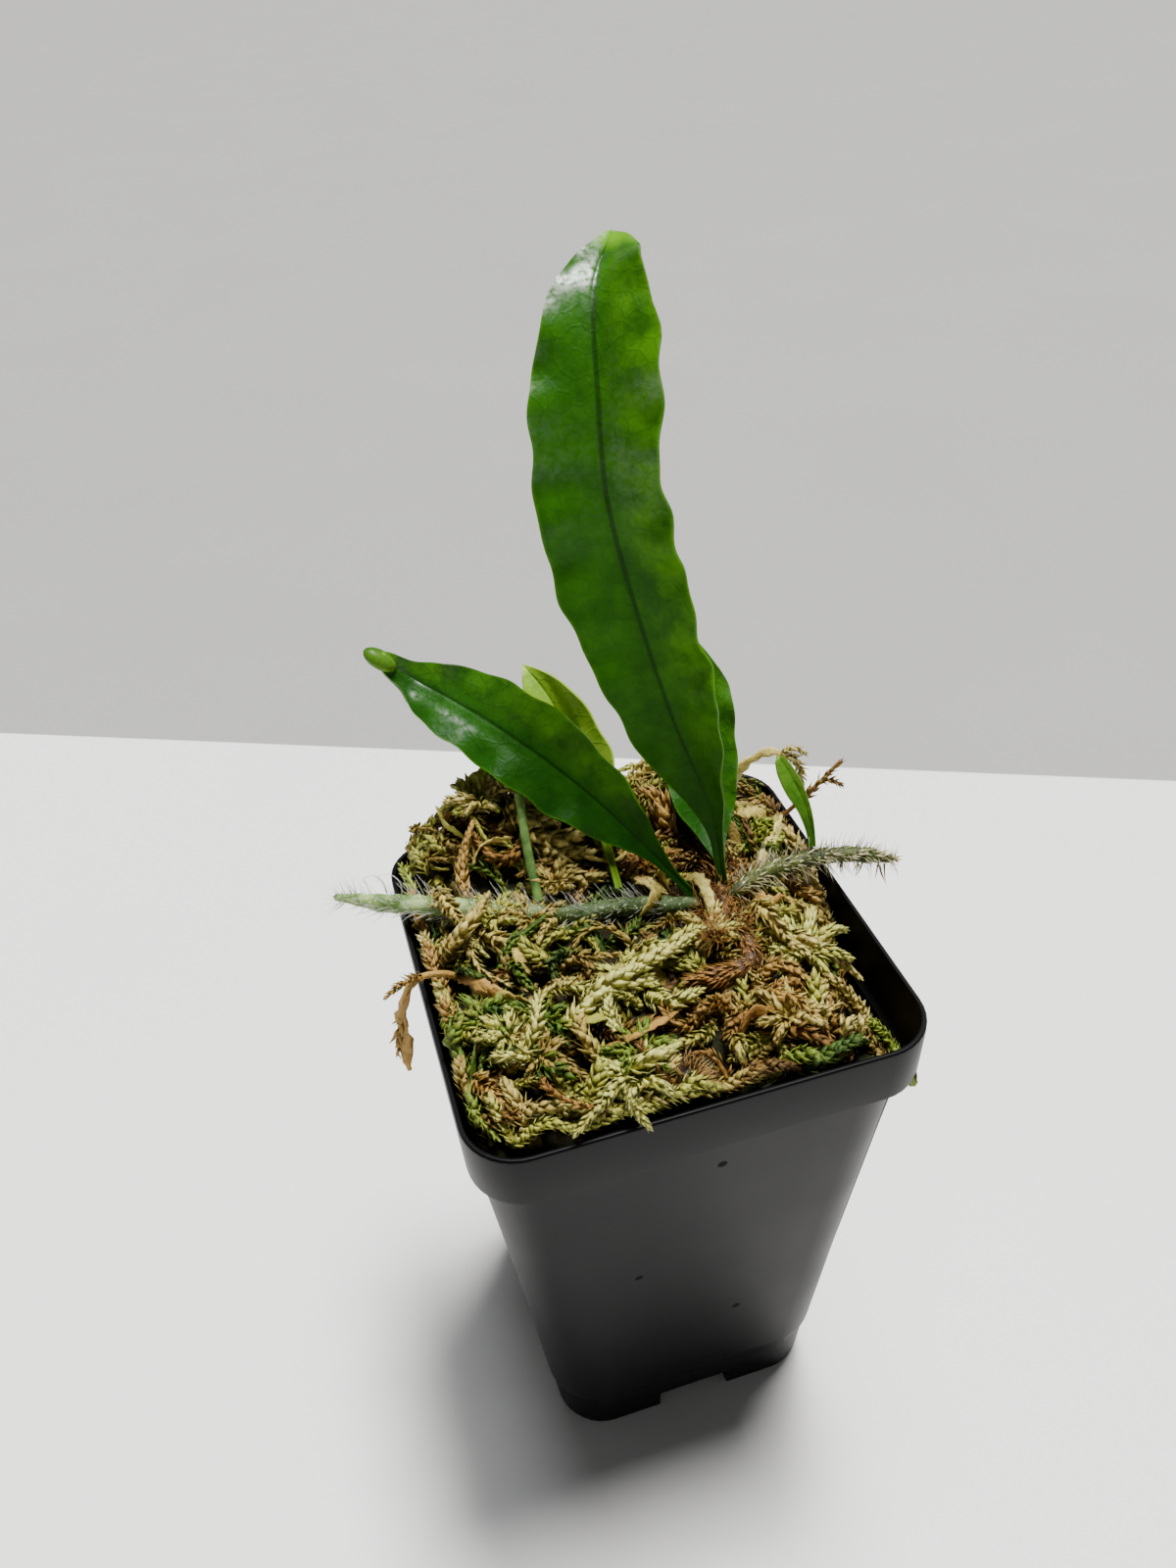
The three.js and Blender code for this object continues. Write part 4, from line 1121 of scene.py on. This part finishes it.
rightward = (0.955, -0.29, -0.05)
fronds = {
    # midrib, direction across at the foot and the tip, half widths, rise of each half, waves of the edge
    "frond_tall": {
        "midrib": [(13.6, 1.4, 96), (12.9, 5, 107.6), (9.2, 9.6, 121), (5.8, 14, 137), (3.7, 17.4, 151),
                   (4.2, 21, 162.6), (6.3, 28, 172.6), (11.5, 36.5, 177)],
        "across": (rightward, rightward),
        "left": [0.8, 1.1, 3.4, 5.9, 7.2, 8.3, 9.2, 9.2, 8.9, 8.5, 6.7, 3.9, 1.6],
        "right": [0.8, 1.1, 3.5, 6.2, 7.9, 7.9, 8.3, 8.2, 7.8, 8.7, 8.5, 6.4, 4],
        "rise": (4, 26), "wave": 0.55, "pitch": 11.5, "scallop": 0.022, "blunt": 0.93, "slot": "blade"},
    "frond_left": {
        "midrib": [(9.2, 0.8, 95.4), (4.8, 6.1, 100.3), (-2.5, 14.2, 108.2), (-10.8, 23.1, 114.2),
                   (-17, 30.4, 117), (-22, 35.8, 118.8), (-27, 37.6, 123.2)],
        "across": ((0.55, 0.25, 0.8), (0.62, 0.5, 0.6)),
        "left": [0.7, 0.7, 1.6, 3.8, 5.4, 6.3, 6.5, 6.5, 6.3, 5.8, 4.8, 2.6, 2],
        "right": [0.7, 0.8, 2.3, 4.1, 5.2, 6, 6.8, 6.8, 6.3, 5.6, 4, 2.2, 2],
        "rise": (12, 8), "wave": 0.5, "pitch": 11, "scallop": 0.03, "blunt": 0.92, "slot": "blade_dark"},
    "frond_light": {
        "midrib": [(-1.2, 4.3, 97), (-0.8, 9, 98.6), (-0.6, 15.5, 101), (-1.3, 22, 107), (-2.8, 29.4, 114),
                   (-5.6, 35, 118)],
        "across": ((0.9, -0.2, 0.1), (0.8, -0.1, 0.3)),
        "left": [0.6, 0.6, 1, 2.7, 4.5, 5.6, 5.2, 3.8, 0.6],
        "right": [0.6, 0.6, 1.2, 4.3, 6.2, 5.9, 5.1, 2.9, 0.6],
        "rise": (30, 30), "wave": 0.3, "pitch": 12, "scallop": 0.02, "blunt": 0.95, "slot": "blade_light"},
    "frond_behind": {
        "midrib": [(14.4, 3.8, 96.4), (15.7, 11.6, 99.4), (17, 19.6, 107.2), (18.4, 24.4, 113.8),
                   (20, 28.4, 119.9)],
        "across": (rightward, rightward),
        "left": [0.6, 2.2, 4.6, 5.7, 5.8, 5.5, 5, 3.4, 0.6],
        "right": [0.6, 1.5, 3.4, 4.9, 5.4, 5.6, 5.3, 3.8, 0.6],
        "rise": (10, 10), "wave": 0.4, "pitch": 10, "scallop": 0.02, "blunt": 0.95, "slot": "blade_dark"},
    "frond_young": {
        "midrib": [(27.8, 2.2, 98.2), (28.1, 3.4, 100.2), (27.8, 5, 103.4), (26.7, 7.8, 107),
                   (25.5, 10.4, 109.6)],
        "across": (rightward, rightward),
        "left": [0.6, 0.8, 1.2, 1.6, 1.9, 1.7, 0.7], "right": [0.6, 0.6, 0.7, 0.9, 1.1, 1, 0.7],
        "rise": (12, 30), "wave": 0.1, "pitch": 8, "scallop": 0.02, "blunt": 0.96, "slot": "blade",
        "finish": "young"},
}
# of every frond: cells across the blade, rows to a millimetre, thickness, depth and width of the groove
# over the midrib, and the midrib's radius at the foot
leaf = {"cells": 26, "per": 1.5, "thick": 0.45, "groove": (0.16, 0.35), "rib": 0.62}
greens = {
    # deep, fresh and yellow colour (the yellow also paints the backlight), roughness and shine
    "blade": ("green blade", (0.008, 0.058, 0.0002), (0.024, 0.125, 0.0004), (0.09, 0.25, 0.0008), 0.36, 0.9),
    "blade_dark": ("dark green blade", (0.006, 0.045, 0.002), (0.015, 0.085, 0.003), (0.08, 0.22, 0.005),
                   0.3, 1.0),
    "young": ("young blade", (0.03, 0.1, 0.006), (0.08, 0.19, 0.012), (0.16, 0.3, 0.02), 0.4, 0.3),
    "blade_light": ("light green blade", (0.12, 0.26, 0.012), (0.22, 0.4, 0.02), (0.34, 0.5, 0.06), 0.4, 0.2),
}


def bladeFrame(path, across, v):
    # at v along the midrib: across the blade and out of its face
    start, end = (np.array(d) for d in across)
    forward = path.frame(v)[0]
    width = start * (1 - v)[:, None] + end * v[:, None]
    width = unit(width - forward * np.sum(width * forward, axis=1, keepdims=True))
    return width, np.cross(width, forward)


def makeFrond(node, own):
    path = Path(own["midrib"], 400)
    deep, broad = leaf["groove"]

    def place(u, v):
        width, face = bladeFrame(path, own["across"], v)
        column = 2 * u - 1
        left = column < 0
        half = np.where(left, along(own["left"], v), along(own["right"], v))
        pace = 2 * np.pi * v * path.length / own["pitch"] + np.where(left, 1, 4)
        half = half * (1 + own["scallop"] * (np.sin(pace) + 0.7 * np.sin(1.63 * pace + 2)))
        blunt = np.clip((v - own["blunt"]) / (1 - own["blunt"]), 0, 1)
        half = abs(column) * half * np.sqrt(np.maximum(1 - blunt ** 2, 0.003))
        angle = np.radians(np.where(left, *own["rise"])) * np.minimum(1, half / 3)
        ripple = own["wave"] * (np.sin(pace + 1) + 0.5 * np.sin(1.63 * pace))
        ripple = ripple * abs(column) ** 1.5 * smoothStep(half, 1.5, 5)
        ripple = ripple - deep * np.exp(-(half / broad) ** 2)       # the midrib lies in a groove
        sign = np.sign(column)[:, None]
        angle, half, ripple = angle[:, None], half[:, None], ripple[:, None] + 0.22
        edge = width * sign * np.cos(angle) + face * np.sin(angle)
        normal = face * np.cos(angle) - width * sign * np.sin(angle)
        return path.at(v) + edge * half + normal * ripple

    def ribPlace(u, v):         # midrib under the blade, and the stalk at its foot
        width, face = bladeFrame(path, own["across"], v)
        angle = 2 * np.pi * u
        size = leaf["rib"] * (1 - 0.62 * v)
        return (path.at(v) + width * (size * np.cos(angle))[:, None]
                + face * (size * np.sin(angle) - 0.25 - 0.05 * v)[:, None])
    blade = shapedGrid("blade_" + node, leaf["cells"], int(path.length * leaf["per"]), place)
    apply(blade, "SOLIDIFY", thickness=leaf["thick"] * mm, offset=1.0)
    rib = shapedGrid("rib_" + node, 8, int(path.length), ribPlace)
    closeUp(rib)
    piece = joined(node + "_leaf", [blade, rib])
    smooth(piece, 50)
    return piece


def bladeFinish(name, deep, fresh, yellow, gloss, shine):
    blade = Finish(name, {"Specular IOR Level": 0.06, "Coat Roughness": 0.28, "Coat IOR": 1.5})
    place = blade.node("ShaderNodeUVMap", {"uv_map": "UVMap"})
    split = blade.node("ShaderNodeSeparateXYZ", None, {0: place})
    across = blade.node("ShaderNodeMath", {"operation": "ABSOLUTE"}, {0: split - 0.5}) * 2
    tipward = blade.node("ShaderNodeSeparateXYZ", None, {0: place}, output=1)
    spot = blade.spot()
    mottle = blade.noise(spot, 4.5, 5, 0.62)
    patch = blade.noise(spot, 14, 2)
    leather = blade.noise(spot, 0.9, 4, 0.6)
    net = blade.node("ShaderNodeTexVoronoi", {"feature": "DISTANCE_TO_EDGE"}, {
        "Vector": spot, "Scale": 1 / (2.2 * mm)})
    veins = 1 - blade.step(net, 0.0, 0.12)
    rib = 1 - blade.step(across, 0.02, 0.07)
    wet = shine * blade.step(tipward, 0.5, 0.85)           # glossier towards the tip
    base = blade.mix(blade.step(mottle + 0.5 * patch, 0.45, 1.05), deep, fresh)
    base = blade.mix((1 - blade.step(tipward, 0.02, 0.42)) * 0.6, base, tuple(0.55 * c for c in deep))
    # painted backlight: yellow patches of light shining through the right half of the blade
    painted_backlight = blade.step(split, 0.5, 0.8) * blade.step(mottle, 0.2, 0.8)
    painted_backlight = painted_backlight * blade.step(tipward, 0.1, 0.4) * 0.45
    base = blade.mix(painted_backlight, base, yellow)                          # the right half is painted lighter and yellower: painted light shining through the blade
    base = blade.mix(veins * 0.16, base, deep)
    base = blade.mix(blade.step(across, 0.94, 1.0) * 0.3, base, yellow)
    base = blade.mix(blade.step(tipward, 0.945, 0.99) * 0.8, base, tuple(1.5 * c for c in yellow))
    blade.give(Base_Color=blade.mix(rib * 0.7, base, tuple(0.4 * c for c in deep)),
               Roughness=gloss + 0.2 * leather,
               Coat_Weight=0.02 + wet * blade.step(leather, 0.3, 0.7),
               Normal=blade.bump(mottle * 0.7 + leather * 0.34 + veins * 0.12, 0.28, 0.8))
    return blade


# the rolled, rounded end of the left frond
tipCurl = {"size": (2.7, 1.7, 1.3), "facing": (-0.75, 0.3, 0.6), "place": (-26.5, 36.9, 122.7)}


def makeCurl():
    bpy.ops.mesh.primitive_uv_sphere_add(segments=20, ring_count=12, radius=mm)
    curl = bpy.context.object
    curl.name = curl.data.name = "frond_left_curl"
    edit(curl)
    bpy.ops.transform.resize(value=tipCurl["size"])
    done()
    turn = Vector(tipCurl["facing"]).to_track_quat("X", "Z").to_matrix().to_4x4()
    curl.data.transform(Matrix.Translation(Vector(tipCurl["place"]) * mm) @ turn)
    smooth(curl)
    return curl


stub = {
    "line": [(-12.6, 6.4, 96.6), (-12.4, 12, 102), (-11.6, 18, 107.4)], "radius": 0.72, "cells": (14, 24),
    "stem": ("green stalk", (0.05, 0.12, 0.02), (0.14, 0.26, 0.05), (0.2, 0.3, 0.1)),
}


def makeStub():
    def radius(angle, v):
        return stub["radius"] * (1 - 0.12 * v + np.maximum(v - 0.85, 0))         # wider at the cut
    return roundStem("cut_stalk", Path(stub["line"]), *stub["cells"], radius, 50)


finishes = {key: bladeFinish(*green) for key, green in greens.items()}
for node, own in fronds.items():
    fit(makeFrond(node, own), finishes[own.get("finish", own["slot"])], own["slot"], node)
fit(makeCurl(), finishes["young"], "blade_light")
fit(makeStub(), stemFinish(*stub["stem"]), "stalk", "petiole_stub")
print("fronds made")


# floor, light and camera

stage = {
    "half": 30000,
    "line": [(-134.7, 244.0), (187.1, 94.3)], "soft": 0.4,         # beyond this line the floor is grey
    "near": ((0.8, 0.8, 0.79), (0.87, 0.87, 0.86)), "far": ((0.29, 0.29, 0.283), (0.32, 0.32, 0.312)),
    "sky": [(0.0, 0.5), (0.36, 0.3), (0.6, 0.03)],         # sine of the height over the horizon, and level
}


def floorFinish():
    floor = Finish("painted floor", {"Roughness": 0.6, "Specular IOR Level": 0.3})
    start, end = (Vector(place) for place in stage["line"])
    across = (end - start).orthogonal().normalized()
    spot = floor.spot()
    place = floor.node("ShaderNodeVectorMath", {"operation": "DOT_PRODUCT"}, {
        0: spot, 1: (across.x, across.y, 0)}, output="Value")
    line, soft = start.dot(across) * mm, stage["soft"] * mm
    beyond = floor.step(place, line - soft, line + soft)
    cloud = floor.noise(spot, 90, 3)
    fine = floor.noise(spot, 3, 4)
    near, far = (floor.mix(cloud, *stage[key]) for key in ("near", "far"))
    floor.give(Base_Color=floor.mix(beyond, near, far), Normal=floor.bump(fine, 0.05, 0.4))
    return floor


def makeStage():
    bpy.ops.mesh.primitive_plane_add(size=2 * stage["half"] * mm)
    floor = bpy.context.object
    floor.name = "floor"
    floor.data.materials.append(floorFinish().material)


suns = [
    # name, the way from the plant to the light, its size in degrees, strength and colour
    ("main_window", (0.2, 0.09, 0.97), 14, 4.3, (1.0, 0.99, 0.97)),
    ("back_window", (0.18, 0.26, 0.95), 14, 3.6, (1.0, 0.985, 0.96)),
    ("front_window", (-0.02, 0.16, 0.99), 14, 0.9, (0.98, 0.99, 1.0)),
]


def addSun(name, towards, angle, strength, colour):
    bpy.ops.object.light_add(type="SUN", location=Vector(towards))
    light = bpy.context.object
    light.name = name
    light.data.angle = math.radians(angle)
    light.data.energy = strength
    light.data.color = colour
    light.rotation_mode = "QUATERNION"
    light.rotation_quaternion = (-Vector(towards)).to_track_quat("-Z", "Y")


def makeLights():
    # a pale band all round the horizon, dim overhead, and three soft suns
    world = bpy.data.worlds.new("studio")
    bpy.context.scene.world = world
    world.use_nodes = True
    nodes, links = world.node_tree.nodes, world.node_tree.links
    where, split = nodes.new("ShaderNodeTexCoord"), nodes.new("ShaderNodeSeparateXYZ")
    ramp = nodes.new("ShaderNodeValToRGB")
    ramp.color_ramp.elements.new(0.5)
    links.new(where.outputs["Generated"], split.inputs[0])
    links.new(split.outputs["Z"], ramp.inputs["Fac"])
    for element, (place, level) in zip(ramp.color_ramp.elements, stage["sky"]):
        element.position, element.color = place, (level, level, level * 0.99, 1)
    links.new(ramp.outputs["Color"], nodes["Background"].inputs["Color"])
    for sun in suns:
        addSun(*sun)


# the photograph's own viewpoint: angles in radians, the lens in millimetres on a 36 mm high frame
view = {"place": (-37.29, -121.21, 217.09), "azimuth": 0.2539, "down": 0.6565, "roll": -0.0676, "lens": 28.3}


def makeCamera():
    azimuth, down, roll = view["azimuth"], view["down"], view["roll"]
    flat = math.cos(down)
    ahead = Vector((math.sin(azimuth) * flat, math.cos(azimuth) * flat, -math.sin(down)))
    level = ahead.cross(Vector((0, 0, 1))).normalized()
    upright = level.cross(ahead)
    right = level * math.cos(roll) + upright * math.sin(roll)
    up = upright * math.cos(roll) - level * math.sin(roll)
    bpy.ops.object.camera_add()
    camera = bpy.context.object
    turn = Matrix((right, up, -ahead)).transposed().to_4x4()
    camera.matrix_world = Matrix.Translation(Vector(view["place"]) * mm) @ turn
    camera.data.sensor_width = 36
    camera.data.lens = view["lens"]
    camera.data.clip_start, camera.data.clip_end = 0.01, 20
    bpy.context.scene.camera = camera


makeStage()
makeLights()
makeCamera()
print("stage ready")

bpy.context.view_layer.update()
